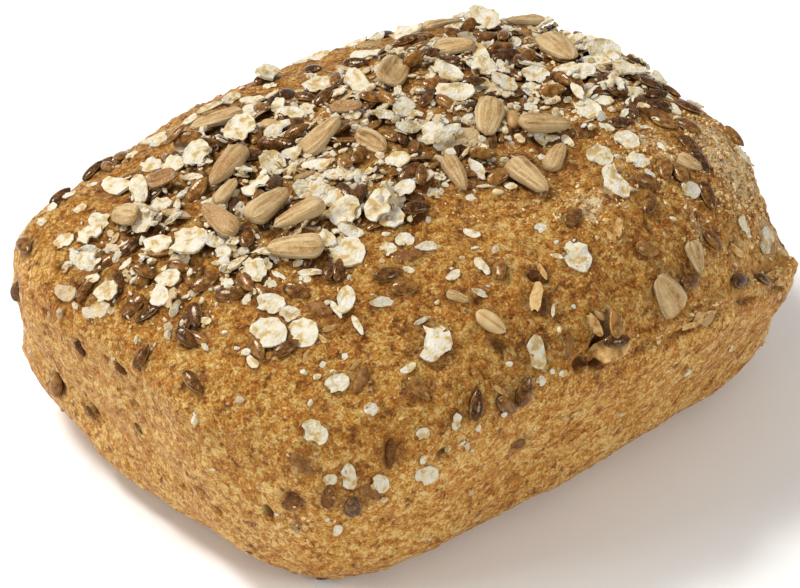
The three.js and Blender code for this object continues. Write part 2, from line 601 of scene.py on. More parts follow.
@dataclass(frozen=True)
class SeedCoat(Finish):
    """Flaxseed's own coat: smooth, hard and glossy dark brown, with a painted highlight, a pale line along
    its rim where light catches the edge.

    Its tones go from dark to brown and dusty. Pattern sizes are in millimetres, and rim_at is how
    far round the seed's map its rim lies.
    """

    name: str = "glossy_flaxseed_coat"
    roughness: float = 0.16
    ior: float = 1.5
    gloss: float = 0.42
    glint: str = "ffe6c6"
    tones: Tones = ((0.36, "341b08"), (0.52, "663e17"), (0.74, "a07238"))
    # rim is the colour of the painted highlight along the seed's edge.
    rim: str = "cfae72"
    bloom: str = "c9a472"
    relief: float = 0.04 * MM
    cloud_size: float = 0.9
    speck_size: float = 0.3
    specks: Levels = ((0.58, 0.0), (0.72, 0.35))
    own_shade: float = 0.28
    rim_at: float = 0.205
    rim_line: Levels = ((0.006, 0.8), (0.03, 0.0))

    def material(self) -> bpy.types.Material:
        """Builds the finish.

        Returns:
            The material.
        """
        finish, tree, mm = self.start()
        shade = add_node(tree, "Attribute", out="Fac", attribute_name="shade")
        cloud = add_node(tree, "TexNoise", {"Vector": mm, "Scale": 1 / self.cloud_size, "Detail": 4.0})
        tone = add_node(tree, "Mix", {0: self.own_shade, 2: cloud, 3: shade})
        base = add_node(tree, "ValToRGB", {0: tone}, stops=colours(self.tones))
        # The seed's map counts round its long axis, so a rim is a line at one share of it. The pale line
        # there is a painted highlight along the edge.
        around = add_node(tree, "SeparateXYZ", {0: add_node(tree, "UVMap")})
        side = add_node(tree, "Math", {0: around, 1: 0.5}, operation="SUBTRACT")
        turned = add_node(tree, "Math", {0: side}, operation="ABSOLUTE")
        away = add_node(tree, "Math", {0: turned, 1: self.rim_at}, operation="SUBTRACT")
        near = add_node(tree, "Math", {0: away}, operation="ABSOLUTE")
        line = add_node(tree, "ValToRGB", {0: near}, stops=greys(self.rim_line))
        rim_highlight = add_node(tree, "Math", {0: line, 1: cloud}, operation="MULTIPLY")
        colour = add_node(tree, "Mix", {0: rim_highlight, 6: base, 7: linear(self.rim)}, out=2,
                          data_type="RGBA")
        # Specks of dried slime and flour lie on the gloss.
        fine = add_node(tree, "TexNoise", {"Vector": mm, "Scale": 1 / self.speck_size, "Detail": 3.0})
        specks = add_node(tree, "ValToRGB", {0: fine}, stops=greys(self.specks))
        colour = add_node(tree, "Mix", {0: specks, 6: colour, 7: linear(self.bloom)}, out=2,
                          data_type="RGBA")
        self.close(tree, colour, fine, self.relief)
        return finish


@dataclass(frozen=True)
class KernelFlesh(Finish):
    """Hulled sunflower kernel: dry, waxy grey-tan flesh with fine lengthwise ribs, browned by baking.

    Its ribs are drawn on its map, each kernel's from another place, and its tones go from the
    furrows to tan and pale. Pattern sizes are in millimetres, and rim_at is how far round the map
    its rim lies.
    """

    name: str = "baked_sunflower_kernel"
    roughness: float = 0.45
    ior: float = 1.46
    gloss: float = 0.4
    tones: Tones = ((0.36, "7c5629"), (0.47, "a98350"), (0.6, "c7ae80"))
    roasted: str = "845324"
    frost: str = "d3c5a5"
    edge: str = "c8b286"
    relief: float = 0.55 * MM
    rib_squash: tuple[float, float, float] = (17.0, 2.0, 1.0)
    rib_shift: float = 37.0
    cloud_size: float = 1.1
    cloud_share: float = 0.3
    toasting: Levels = ((0.05, 0.0), (0.5, 0.85))
    dust_size: float = 0.3
    dusting: Levels = ((0.52, 0.0), (0.7, 0.4))
    rim_at: float = 0.25
    rim_line: Levels = ((0.08, 0.7), (0.2, 0.0))
    rim_waver: float = 0.12

    def material(self) -> bpy.types.Material:
        """Builds the finish.

        Returns:
            The material.
        """
        finish, tree, mm = self.start()
        shade = add_node(tree, "Attribute", out="Fac", attribute_name="shade")
        shift = add_node(tree, "Math", {0: shade, 1: self.rib_shift}, operation="MULTIPLY")
        flat = add_node(tree, "UVMap")
        # Ribs run from tip to tip, most of a millimetre apart.
        drawn = add_node(tree, "Mapping", {"Vector": flat, "Scale": self.rib_squash})
        ribs = add_node(tree, "TexNoise", {"Vector": drawn, "W": shift, "Scale": 1.0, "Detail": 4.0},
                        noise_dimensions="4D")
        cloud = add_node(tree, "TexNoise",
                         {"Vector": mm, "Scale": 1 / self.cloud_size, "Detail": 5.0, "Roughness": 0.7})
        tone = add_node(tree, "Mix", {0: self.cloud_share, 2: ribs, 3: cloud})
        base = add_node(tree, "ValToRGB", {0: tone}, stops=colours(self.tones))
        # Its rim is dustier than its faces.
        around = add_node(tree, "SeparateXYZ", {0: flat})
        side = add_node(tree, "Math", {0: around, 1: 0.5, 2: 0.0}, operation="WRAP")
        away = add_node(tree, "Math", {0: side, 1: self.rim_at}, operation="SUBTRACT")
        near = add_node(tree, "Math", {0: away}, operation="ABSOLUTE")
        sides = add_node(tree, "Math", {0: cloud, 1: self.rim_waver, 2: near},
                         operation="MULTIPLY_ADD")
        edge = add_node(tree, "ValToRGB", {0: sides}, stops=greys(self.rim_line))
        base = add_node(tree, "Mix", {0: edge, 6: base, 7: linear(self.edge)}, out=2,
                        data_type="RGBA")
        toast = add_node(tree, "Attribute", out="Fac", attribute_name="toast")
        browned = add_node(tree, "Math", {0: toast, 1: cloud}, operation="MULTIPLY")
        share = add_node(tree, "ValToRGB", {0: browned}, stops=greys(self.toasting))
        colour = add_node(tree, "Mix", {0: share, 6: base, 7: linear(self.roasted)},
                          out=2, data_type="RGBA")
        # Oat flour clings to it in fine grains.
        grains = add_node(tree, "TexNoise", {"Vector": mm, "Scale": 1 / self.dust_size, "Detail": 2.0})
        dust = add_node(tree, "ValToRGB", {0: grains}, stops=greys(self.dusting))
        colour = add_node(tree, "Mix", {0: dust, 6: colour, 7: linear(self.frost)},
                          out=2, data_type="RGBA")
        self.close(tree, colour, tone, self.relief)
        return finish


@dataclass(frozen=True)
class RolledOat(Finish):
    """Rolled oat: dry, floury cream flake, tan where the bran is left and where heat has caught it.

    Its tones go from tan to cream and white, and pattern sizes are in millimetres.
    """

    name: str = "dry_rolled_oat"
    roughness: float = 0.75
    ior: float = 1.4
    gloss: float = 0.2
    tones: Tones = ((0.37, "bd9f6b"), (0.46, "d4c5a1"), (0.6, "d8d1c0"))
    toasted: str = "a9824a"
    toasting: Levels = ((0.15, 0.0), (0.5, 0.9))
    relief: float = 0.35 * MM
    cloud_size: float = 1.5
    flour_size: float = 0.5

    def material(self) -> bpy.types.Material:
        """Builds the finish.

        Returns:
            The material.
        """
        finish, tree, mm = self.start()
        toast = add_node(tree, "Attribute", out="Fac", attribute_name="toast")
        cloud = add_node(tree, "TexNoise", {"Vector": mm, "Scale": 1 / self.cloud_size, "Detail": 4.0})
        base = add_node(tree, "ValToRGB", {0: cloud}, stops=colours(self.tones))
        browned = add_node(tree, "Math", {0: toast, 1: cloud}, operation="MULTIPLY")
        share = add_node(tree, "ValToRGB", {0: browned}, stops=greys(self.toasting))
        colour = add_node(tree, "Mix", {0: share, 6: base, 7: linear(self.toasted)},
                          out=2, data_type="RGBA")
        fine = add_node(tree, "TexNoise", {"Vector": mm, "Scale": 1 / self.flour_size, "Detail": 3.0})
        self.close(tree, colour, fine, self.relief)
        return finish


@dataclass(frozen=True)
class GrainSkin(Finish):
    """Whole wheat kernel: smooth, satin golden skin over a floury middle.

    Its tones go from pale to golden and brown, and pattern sizes are in millimetres.
    """

    name: str = "baked_wheat_kernel"
    roughness: float = 0.42
    ior: float = 1.48
    gloss: float = 0.4
    tones: Tones = ((0.2, "d8c394"), (0.5, "b7905a"), (0.8, "83552a"))
    relief: float = 0.12 * MM
    cloud_size: float = 1.8
    toast_share: float = 0.6

    def material(self) -> bpy.types.Material:
        """Builds the finish.

        Returns:
            The material.
        """
        finish, tree, mm = self.start()
        toast = add_node(tree, "Attribute", out="Fac", attribute_name="toast")
        cloud = add_node(tree, "TexNoise", {"Vector": mm, "Scale": 1 / self.cloud_size, "Detail": 4.0})
        tone = add_node(tree, "Mix", {0: self.toast_share, 2: cloud, 3: toast})
        colour = add_node(tree, "ValToRGB", {0: tone}, stops=colours(self.tones))
        self.close(tree, colour, cloud, self.relief)
        return finish


# ---------------------------------------------------------------- the bed that things lie on


class Pose(Enum):
    """How a thing lies: the share of its thickness that is sunk, and its roll in degrees."""

    FLAT = (0.3, 8.0)
    TILTED = (0.2, 32.0)
    SUNK = (0.6, 10.0)
    PROUD = (0.08, 16.0)


@dataclass(frozen=True)
class Spot:
    """Where the photograph shows a thing.

    px and py are its middle in the photograph's pixels, turn is its long side's in the picture,
    in degrees counterclockwise from the right, and seen is how many millimetres long it looks
    there. A seen of 0 leaves its length to its kind. toast is how brown it has baked, from 0 to
    1, and forms the numbers of its kind's shapes that it may have, none for any.
    """

    px: float
    py: float
    turn: float = 0.0
    seen: float = 0.0
    toast: float = 0.15
    pose: Pose = Pose.FLAT
    forms: tuple[int, ...] = ()


@dataclass(frozen=True)
class Laid:
    """A thing that already lies on the roll."""

    tree: BVHTree
    middle: Vector
    reach: float


class Bed:
    """The crust with all that already lies on it, as each next thing meets it.

    Rays start at probe from the crust, or at clear where they only have to leave it. Things
    smaller than smallest carry nothing, a thing on others sinks between them by nested, and it
    meets them at the places of its footprint, which are shares of its length and width.
    """

    probe = 9 * MM
    smallest = 0.6 * MM
    clear = 3 * MM
    nested = 0.35 * MM
    steepest = math.tan(math.radians(32))
    footprint = ((0, 0), (0.36, 0), (-0.36, 0), (0, 0.34), (0, -0.34),
                 (0.22, 0.22), (0.22, -0.22), (-0.22, 0.22), (-0.22, -0.22))

    def __init__(self, crust: bpy.types.Object, core: bpy.types.Object) -> None:
        """Takes the crust, and the plain CAD solid for smooth outward directions."""
        self.crust = self.tree_of(crust.data)
        self.core = self.tree_of(core.data)
        self.laid: list[Laid] = []

    @staticmethod
    def tree_of(mesh: bpy.types.Mesh, place: Matrix = Matrix.Identity(4)) -> BVHTree:
        """Makes the search tree of a mesh at a place."""
        points = [place @ vertex.co for vertex in mesh.vertices]
        return BVHTree.FromPolygons(points, [tuple(face.vertices) for face in mesh.polygons])

    def normal(self, point: Vector) -> Vector:
        """Gives the smooth outward direction near a point."""
        return self.core.find_nearest(point)[1]

    def near(self, point: Vector, reach: float) -> list[Laid]:
        """Lists what already lies within reach of a point."""
        return [thing for thing in self.laid if (thing.middle - point).length < thing.reach + reach]

    def seen(self, px: float, py: float) -> Vector | None:
        """Finds what the camera sees at a pixel: the crust, or what lies on it."""
        start = VIEW.place()
        way = VIEW.ray(px, py)
        hit, _, _, distance = self.crust.ray_cast(start, way)
        if hit is None:
            return None
        for thing in self.near(hit, self.probe):
            above, _, _, closer = thing.tree.ray_cast(start, way)
            if above is not None and closer < distance:
                hit, distance = above, closer
        return hit

    def facing(self, point: Vector) -> float:
        """Tells how squarely the crust at a point faces the camera, 1 at most, and -1 if it is hidden."""
        toward = (VIEW.place() - point).normalized()
        normal = self.normal(point)
        if self.crust.ray_cast(point + normal * self.clear, toward)[0] is not None:
            return -1.0
        return normal.dot(toward)

    def rest(self, point: Vector, along: Vector, length: float, width: float) -> tuple[Matrix, bool]:
        """Finds how a flat thing rests at a point, on the crust and on what lies there.

        Args:
            point: where its middle goes.
            along: its long side's direction.
            length: how long it is, in metres.
            width: how wide it is, in metres.

        Returns:
            The turned frame at the middle of its underside, and whether it lies on other things.
        """
        normal = self.normal(point)
        lengthwise = (along - normal * along.dot(normal)).normalized()
        crosswise = normal.cross(lengthwise)
        near = self.near(point, length)
        rows = []
        heights = []
        piled = False
        for u, v in self.footprint:
            start = point + lengthwise * (u * length) + crosswise * (v * width) + normal * self.probe
            _, _, _, drop = self.crust.ray_cast(start, -normal, 2 * self.probe)
            drop = self.probe if drop is None else drop
            for thing in near:
                closer = thing.tree.ray_cast(start, -normal, drop)[3]
                if closer is not None:
                    drop = closer
                    piled = True
            rows.append((1.0, u * length, v * width))
            heights.append(self.probe - drop)
        fit, *_ = np.linalg.lstsq(np.array(rows), np.array(heights), rcond=None)
        slope = np.clip(fit[1:], -self.steepest, self.steepest)
        gaps = np.array(heights) - np.array(rows) @ np.array((fit[0], *slope))
        lift = fit[0] + (max(0.0, float(gaps.max()) - self.nested) if piled else 0.0)
        outward = (normal - lengthwise * float(slope[0]) - crosswise * float(slope[1])).normalized()
        lengthwise = (lengthwise - outward * lengthwise.dot(outward)).normalized()
        turned = Matrix((lengthwise, outward.cross(lengthwise), outward)).transposed().to_4x4()
        return Matrix.Translation(point + normal * float(lift)) @ turned, piled

    def add(self, mesh: bpy.types.Mesh, place: Matrix) -> None:
        """Takes a thing that has been laid into the bed, unless it is too small to carry others."""
        reach = max(vertex.co.length for vertex in mesh.vertices) * place.median_scale
        if reach > self.smallest:
            self.laid.append(Laid(self.tree_of(mesh, place), place.translation.copy(), reach))


@dataclass(frozen=True)
class Dimple:
    """A dent in the crust, or a lump where depth is below zero: its pixel, turn and size in mm."""

    px: float
    py: float
    turn: float
    length: float
    width: float
    depth: float


@dataclass
class Crust:
    """The roll's crust: one closed skin, with the relief that baking and the tin gave it.

    The tin pressed its walls smoother, up to the crown's foot, and filled its waist at the -X
    end. Things whose reach is over darkening shade the crust beside them.
    """

    cell: float = 0.62 * MM
    smoothing: int = 8
    flat_below: float = 0.05 * MM
    flat_angle: float = math.radians(3)
    tidy_below: float = 2.5 * MM
    swells: float = 1.1 * MM
    swell_size: float = 17 * MM
    lumps: float = 1.0 * MM
    lump_size: float = 4.4 * MM
    grain: float = 1.2 * MM
    grain_size: float = 1.6 * MM
    pressed: float = 0.45
    crown_foot: float = 38 * MM
    crown_blend: float = 10 * MM
    waist: float = 17 * MM
    waist_reach: float = 13 * MM
    waist_fill: float = 1.1 * MM
    full_end: float = 54 * MM
    end_blend: float = 9 * MM
    weight_steps: int = 50
    dimple_fade: float = 1.35
    dimple_skin: float = 2 * MM
    darkening: float = 1.2 * MM
    darkened_reach: float = 1.25
    beside: int = 5
    beside_shade: float = 0.31
    darkest: float = 0.9
    shape: list[Dimple] = field(default_factory=lambda: [
        Dimple(725, 142, -55, 26, 18, -0.9), Dimple(783, 224, -60, 16, 14, 1.8),
        Dimple(38, 226, 45, 22, 16, -1.5), Dimple(6, 292, 80, 20, 16, 1.5),
        Dimple(110, 440, -45, 22, 12, 0.9), Dimple(270, 555, -30, 16, 12, 1.0),
        Dimple(784, 272, 15, 6, 2.4, -1.6), Dimple(752, 287, 10, 9, 2.2, -1.1),
        Dimple(715, 302, 22, 9, 2.2, -1.1), Dimple(682, 319, 28, 8, 2.2, -1.0),
        Dimple(650, 334, 25, 8, 2.2, -0.9), Dimple(11, 294, 80, 4, 2.0, -1.0)])
    dimples: list[Dimple] = field(default_factory=lambda: [
        Dimple(780, 288, 15, 8, 1.2, 0.9), Dimple(748, 300, 10, 9, 1.2, 0.8),
        Dimple(713, 315, 22, 9, 1.2, 0.7), Dimple(680, 333, 25, 8, 1.2, 0.7),
        Dimple(645, 347, 20, 7, 1.2, 0.6), Dimple(787, 263, 0, 2.4, 2.0, -1.5),
        Dimple(597, 343, 20, 3.0, 2.2, 1.7), Dimple(580, 364, 0, 3.0, 2.4, 1.6),
        Dimple(600, 362, 20, 4.4, 2.0, 1.9), Dimple(60, 265, 45, 2.4, 1.6, 0.8),
        Dimple(120, 368, -45, 3.0, 1.3, 0.9), Dimple(135, 403, -40, 2.4, 1.2, 0.6),
        Dimple(80, 348, -60, 3.6, 1.4, 0.9), Dimple(92, 413, -60, 5.0, 1.4, 0.8),
        Dimple(200, 490, -30, 1.9, 1.4, 0.8), Dimple(217, 511, -60, 2.0, 1.4, 0.8),
        Dimple(268, 512, -60, 2.6, 1.7, 1.2), Dimple(182, 484, 0, 1.8, 1.4, 0.7),
        Dimple(500, 345, -30, 3.4, 2.4, 0.9), Dimple(538, 277, -25, 4.4, 2.0, 1.0),
        Dimple(390, 455, 80, 5.5, 2.0, 0.9), Dimple(442, 454, 0, 2.2, 2.2, 1.1),
        Dimple(294, 500, -30, 3.6, 2.8, 0.7), Dimple(297, 528, 80, 3.4, 1.6, 0.7),
        Dimple(45, 312, 80, 2.4, 1.4, 0.6), Dimple(384, 520, 60, 2.4, 1.3, 0.6),
        Dimple(650, 228, -60, 5.0, 1.3, 0.8), Dimple(60, 384, 85, 5.0, 3.0, 0.8),
        Dimple(480, 300, 60, 4.0, 2.0, 0.5), Dimple(138, 490, -30, 5.0, 3.4, -0.9),
        Dimple(615, 226, 80, 6.5, 3.4, -0.8), Dimple(614, 352, 15, 5.0, 2.6, -1.3),
        Dimple(555, 352, 30, 4.4, 2.4, -0.8)])
    flour: list[Dimple] = field(default_factory=lambda: [
        Dimple(727, 160, -60, 26, 18, 0.95), Dimple(695, 316, 20, 12, 5, 0.6),
        Dimple(592, 215, 70, 7, 4, 0.9), Dimple(290, 530, 20, 10, 7, 0.7),
        Dimple(212, 500, -20, 9, 6, 0.6), Dimple(560, 208, 20, 9, 6, 0.5),
        Dimple(650, 140, -40, 22, 9, 0.8), Dimple(600, 195, 10, 12, 6, 0.75),
        Dimple(695, 222, -60, 15, 8, 0.75), Dimple(60, 330, -60, 20, 9, 0.35),
        Dimple(640, 345, 20, 16, 4, 0.5)])

    def skin(self) -> bpy.types.Object:
        """Copies the CAD solid and gives the copy an even mesh.

        Returns:
            The crust, still smooth.
        """
        piece = bpy.data.objects.new("crust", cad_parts[NODE].data.copy())
        bpy.context.scene.collection.objects.link(piece)
        piece.data.materials.clear()
        with editing(piece):
            bpy.ops.mesh.select_all(action="SELECT")
            bpy.ops.mesh.remove_doubles(threshold=HAIR)
        add_modifier(piece, "REMESH", mode="VOXEL", voxel_size=self.cell, use_smooth_shade=True)
        add_modifier(piece, "SMOOTH", factor=0.5, iterations=self.smoothing)
        with editing(piece):
            pick(piece, lambda co: co.z < self.flat_below)
            bpy.ops.mesh.dissolve_limited(angle_limit=self.flat_angle)
        return piece

    def weigh(self, piece: bpy.types.Object, name: str, weights: np.ndarray) -> str:
        """Stores vertex weights as a group, in even steps, and gives its name."""
        group = piece.vertex_groups.new(name=name)
        steps = np.rint(np.clip(weights, 0, 1) * self.weight_steps).astype(int)
        for step in np.unique(steps[steps > 0]):
            share = float(step) / self.weight_steps
            group.add(np.flatnonzero(steps == step).tolist(), share, "REPLACE")
        return group.name

    def spread(self, points: np.ndarray, bed: Bed, dimples: list[Dimple]) -> np.ndarray:
        """Works out how much each point belongs to the dimples, times their depth.

        Args:
            points: the crust's vertices.
            bed: the crust as rays meet it.
            dimples: the places.

        Returns:
            For each point, the depth there in the dimples' own unit.
        """
        total = np.zeros(len(points))
        for dimple in dimples:
            middle = bed.seen(dimple.px, dimple.py)
            if middle is None:
                continue
            normal = bed.normal(middle)
            along, _ = VIEW.along(dimple.turn, normal)
            across = normal.cross(along)
            offset = points - np.array(middle)
            u = offset @ np.array(along) / (dimple.length * MM / 2)
            v = offset @ np.array(across) / (dimple.width * MM / 2)
            w = offset @ np.array(normal) / (dimple.length * MM / 2 + self.dimple_skin)
            out = np.sqrt(u * u + v * v + w * w)
            total += smooth_steps(self.dimple_fade - out) * dimple.depth
        return total

    def build(self) -> bpy.types.Object:
        """Builds the crust with its relief.

        Returns:
            The piece.
        """
        piece = self.skin()
        points = np.array([vertex.co for vertex in piece.data.vertices])
        level = smooth_steps(1 - np.abs(points[:, 2] - self.waist) / self.waist_reach)
        end = np.clip(1 - (points[:, 0] + self.full_end) / self.end_blend, 0, 1)
        group = self.weigh(piece, "waist", level * end)
        add_modifier(piece, "DISPLACE", strength=self.waist_fill, mid_level=0.0, vertex_group=group)
        free = smooth_steps(points[:, 2] / self.tidy_below)
        low = np.clip((self.crown_foot - points[:, 2]) / self.crown_blend, 0, 1)
        pressed = 1 - self.pressed * low
        for name, size, strength, weights in (("swells", self.swell_size, self.swells, free),
                                              ("lumps", self.lump_size, self.lumps, free * pressed),
                                              ("grain", self.grain_size, self.grain, free * pressed)):
            group = self.weigh(piece, name, weights)
            add_modifier(piece, "DISPLACE", texture=clouds(name, size), strength=strength,
                         mid_level=0.5, texture_coords="LOCAL", vertex_group=group)
        bed = Bed(piece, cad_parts[NODE])
        points = np.array([vertex.co for vertex in piece.data.vertices])
        pits = self.spread(points, bed, self.dimples)
        relief = pits + self.spread(points, bed, self.shape)
        deepest = float(np.abs(relief).max())
        for name, sign in (("hollows", -1), ("bumps", 1)):
            free = np.clip(points[:, 2] / MM, 0, 1)
            group = self.weigh(piece, name, -sign * relief / deepest * free)
            add_modifier(piece, "DISPLACE", strength=sign * deepest * MM, mid_level=0.0,
                         vertex_group=group)
        mark(piece, "flour", np.clip(self.spread(points, bed, self.flour), 0, 1))
        self.pits = np.clip(pits, 0, 1)
        piece.vertex_groups.clear()
        only(piece)
        bpy.ops.object.shade_smooth()
        return piece

    def darken(self, piece: bpy.types.Object, bed: Bed) -> None:
        """Marks painted shade on the crust, in its pits and close beside what lies on it, partly also crust
        baked darker there.
        """
        large = [thing for thing in bed.laid if thing.reach > self.darkening]
        tree = KDTree(len(large))
        for number, thing in enumerate(large):
            tree.insert(thing.middle, number)
        tree.balance()
        shade_and_browning = self.darkest * self.pits
        for number, vertex in enumerate(piece.data.vertices):
            for _, index, distance in tree.find_n(vertex.co, self.beside):
                inside = large[index].reach * self.darkened_reach - distance
                shade_and_browning[number] += self.beside_shade * smooth_step(inside / MM)
        mark(piece, "shade_and_browning", np.clip(shade_and_browning, 0, self.darkest))

    def dress(self, piece: bpy.types.Object) -> None:
        """Gives the crust its finish and its place in the frame."""
        piece.data.materials.append(BakedCrust().material())
        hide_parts(NODE)
        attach(piece, BODY)


# ---------------------------------------------------------------- strewing


class Side(Enum):
    """Which part of the roll something is strewn on, as the photograph's camera sees it."""

    SHOWN = "shown"
    HIDDEN = "hidden"


@dataclass(frozen=True)
class Sowing:
    """How thickly one side of the roll is strewn with one kind of thing.

    crown and walls are how many lie on a square centimetre of the crown and of the rest, before
    the gap thins them. gap is the least distance between two, in metres, and turned is how far a
    hidden place has to be turned from the camera, from 0 to 1.
    """

    side: Side
    crown: float
    gap: float
    walls: float = 0.0
    turned: float = 0.0


@dataclass
class Sower:
    """Strews the roll at random, thickly on its crown and thinly on its walls."""

    bed: Bed
    seed: int = 5
    tries: int = 48000
    crown_middle: float = 6 * MM
    crown_width: float = 21 * MM
    crown_length: float = 54 * MM
    crown_foot: float = 34 * MM
    crown_rise: float = 6 * MM
    bare_foot: float = 12 * MM
    thins_at: float = 1.25
    thins_over: float = 0.5

    def __post_init__(self) -> None:
        """Chooses places all over the plain solid, evenly by area."""
        self.random = random.Random(self.seed)
        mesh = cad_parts[NODE].data
        sums = np.cumsum([face.area for face in mesh.polygons])
        self.places: list[tuple[Vector, float, float]] = []
        for face in self.random.choices(mesh.polygons, cum_weights=list(sums), k=self.tries):
            a, b, c = (mesh.vertices[number].co for number in face.vertices[:3])
            r, s = sorted((self.random.random(), self.random.random()))
            point = a * r + b * (s - r) + c * (1 - s)
            self.places.append((point, self.richness(point), self.bed.facing(point)))
        self.per_cm2 = self.tries * CM2 / sums[-1]

    def richness(self, point: Vector) -> float:
        """Tells how thickly the crown is strewn at a point, from 0 to 1."""
        across = abs(point.y - self.crown_middle) / self.crown_width
        along = abs(point.x) / self.crown_length
        out = (across ** 3 + along ** 3) ** (1 / 3)
        inside = smooth_step((self.thins_at - out) / self.thins_over)
        return inside * smooth_step((point.z - self.crown_foot) / self.crown_rise)

    def points(self, sowing: Sowing) -> list[Vector]:
        """Chooses random points on one side of the roll.

        Args:
            sowing: which side it is, and how thickly it is strewn.

        Returns:
            The points, on the plain solid's skin.
        """
        found: list[Vector] = []
        for point, richness, facing in self.random.sample(self.places, len(self.places)):
            on_wall = sowing.walls * smooth_step(point.z / self.bare_foot)
            share = max(sowing.crown * richness, on_wall)
            if self.random.random() > share / self.per_cm2:
                continue
            if facing < 0 if sowing.side is Side.SHOWN else facing > -sowing.turned:
                continue
            if all((point - other).length > sowing.gap for other in found):
                found.append(point)
        return found


# ---------------------------------------------------------------- toppings


def spots(*rows: tuple, **shared: object) -> list[Spot]:
    """Makes spots from rows of px, py, turn, seen and toast, and what they share."""
    return [Spot(*row, **shared) for row in rows]


@dataclass(kw_only=True)
class Topping:
    """One kind of thing that is strewn on the roll, as one piece.

    Sizes are in metres. length is the shortest and the longest of whole ones, skew above 1 makes
    more of them short, crisp is the angle in degrees from which an edge shows as one, brownest is
    the most that a scattered one has browned, from 0 to 1, and those shorter than loose, which is
    in mm, are put less exactly where the photograph shows them. spots are those that it shows, and
    sowings say how thickly others are strewn. rolls is the share of its pose's roll that a thing
    takes, pitch how many degrees its ends tip, and stacked how much of it sinks between others.
    """

    name: str
    slot: str
    finish: Finish
    length: tuple[float, float]
    seed: int
    crisp: float = 80.0
    skew: float = 1.0
    brownest: float = 0.6
    loose: float = 1.5
    rolls: tuple[float, float] = (0.7, 1.1)
    pitch: float = 5.0
    stacked: float = 0.12
    climb: float = 0.4
    lower_step: int = 3
    sowings: tuple[Sowing, ...] = ()
    spots: list[Spot] = field(default_factory=list)
    copies: list[bpy.types.Object] = field(default_factory=list)
    shapes: list[bpy.types.Object] = field(default_factory=list)

    def __post_init__(self) -> None:
        """Starts the kind's own random order and models its shapes."""
        self.random = random.Random(self.seed)
        self.model()

    def model(self) -> None:
        """Models the shapes that are copied, each at the origin with its long side along X."""
        raise NotImplementedError

    def keep(self, piece: bpy.types.Object) -> None:
        """Shades a modelled shape, puts it at the origin and keeps it for copying."""
        piece.location = (0, 0, 0)
        only(piece)
        bpy.ops.object.shade_smooth_by_angle(angle=math.radians(self.crisp))
        bpy.context.view_layer.update()
        self.shapes.append(piece)

    def lay(self, bed: Bed, shape: bpy.types.Object, point: Vector, along: Vector, length: float,
            pose: Pose, toast: float, spot: Spot | None = None) -> None:
        """Lays one copy of a shape on the bed.

        Args:
            bed: what it lies on.
            shape: the shape to copy.
            point: where its middle goes.
            along: its long side's direction.
            length: how long it is to be, in metres.
            pose: how it lies.
            toast: how far it has browned, from 0 to 1.
            spot: the pixel that its middle is to be seen at, if the photograph shows it.
        """
        size = shape.dimensions.copy()
        scale = length / size.x
        sunk, roll = pose.value
        roll = math.radians(roll) * self.random.uniform(*self.rolls)
        pitch = math.radians(self.random.uniform(-self.pitch, self.pitch))
        half = math.hypot(size.y * math.sin(roll), size.z * math.cos(roll)) * scale / 2
        for _ in range(1 if spot is None else 3):
            place, piled = bed.rest(point, along, size.x * scale, size.y * scale)
            rise = half - (min(sunk, self.stacked) if piled else sunk) * size.z * scale
            place = place @ Matrix.Translation((0, 0, rise))
            if spot is not None:
                point = VIEW.meet(spot.px, spot.py, place.translation, bed.normal(point))
        # A thing that the photograph shows is tipped towards the camera, since those catch the eye.
        away = self.random.choice((-1, 1)) if spot is None else place.col[1].xyz.dot(VIEW.axes()[2])
        roll = -math.copysign(roll, away)
        place = place @ Matrix.Rotation(roll, 4, "X") @ Matrix.Rotation(pitch, 4, "Y")
        place = place @ Matrix.Scale(scale, 4)
        twin = bpy.data.objects.new(self.name, shape.data.copy())
        twin.matrix_world = place
        bpy.context.scene.collection.objects.link(twin)
        mark(twin, "shade", self.random.random())
        mark(twin, "toast", toast)
        bed.add(shape.data, place)
        self.copies.append(twin)

    def pick_shape(self, forms: tuple[int, ...] = ()) -> bpy.types.Object:
        """Chooses one of the shapes with these numbers, or any."""
        return self.shapes[self.random.choice(forms or range(len(self.shapes)))]

    def lay_seen(self, bed: Bed) -> None:
        """Lays those that the photograph shows."""
        for spot in self.spots:
            point = bed.seen(spot.px, spot.py)
            if point is None and 0 < spot.seen < self.loose:
                continue
            lower = 0
            while point is None:
                lower += self.lower_step
                point = bed.seen(spot.px, spot.py + lower)
            along, stretch = VIEW.along(spot.turn, bed.normal(point))
            length = self.random.uniform(*self.length)
            if spot.seen:
                length = min(spot.seen * MM * stretch, self.length[1] * 1.1)
            shape = self.pick_shape(spot.forms)
            large = length > self.loose * MM
            self.lay(bed, shape, point, along, length, spot.pose, spot.toast, spot if large else None)

    def lay_scattered(self, bed: Bed, sower: Sower) -> None:
        """Lays its scattered ones, each turned and chosen at random."""
        for point in (point for sowing in self.sowings for point in sower.points(sowing)):
            turn = self.random.uniform(0, math.tau)
            climb = self.random.uniform(-self.climb, self.climb)
            along = Vector((math.cos(turn), math.sin(turn), climb))
            pose = self.random.choice((Pose.FLAT, Pose.FLAT, Pose.TILTED))
            short, long = self.length
            length = short + (long - short) * self.random.random() ** self.skew
            toast = self.random.uniform(0, self.brownest)
            self.lay(bed, self.pick_shape(), point, along, length, pose, toast)

    def join(self) -> bpy.types.Object:
        """Joins the copies into the finished piece, at the origin, with its finish.

        Returns:
            The piece.
        """
        for shape in self.shapes:
            bpy.data.objects.remove(shape)
        only(*self.copies)
        bpy.ops.object.join()
        piece = bpy.context.object
        settle(piece)
        piece.name = self.name
        piece.data.materials.clear()
        piece.data.materials.append(self.finish.material())
        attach(piece, BODY)
        LOG.info("%s: %d things, %d faces", self.name, len(self.copies), len(piece.data.polygons))
        return piece


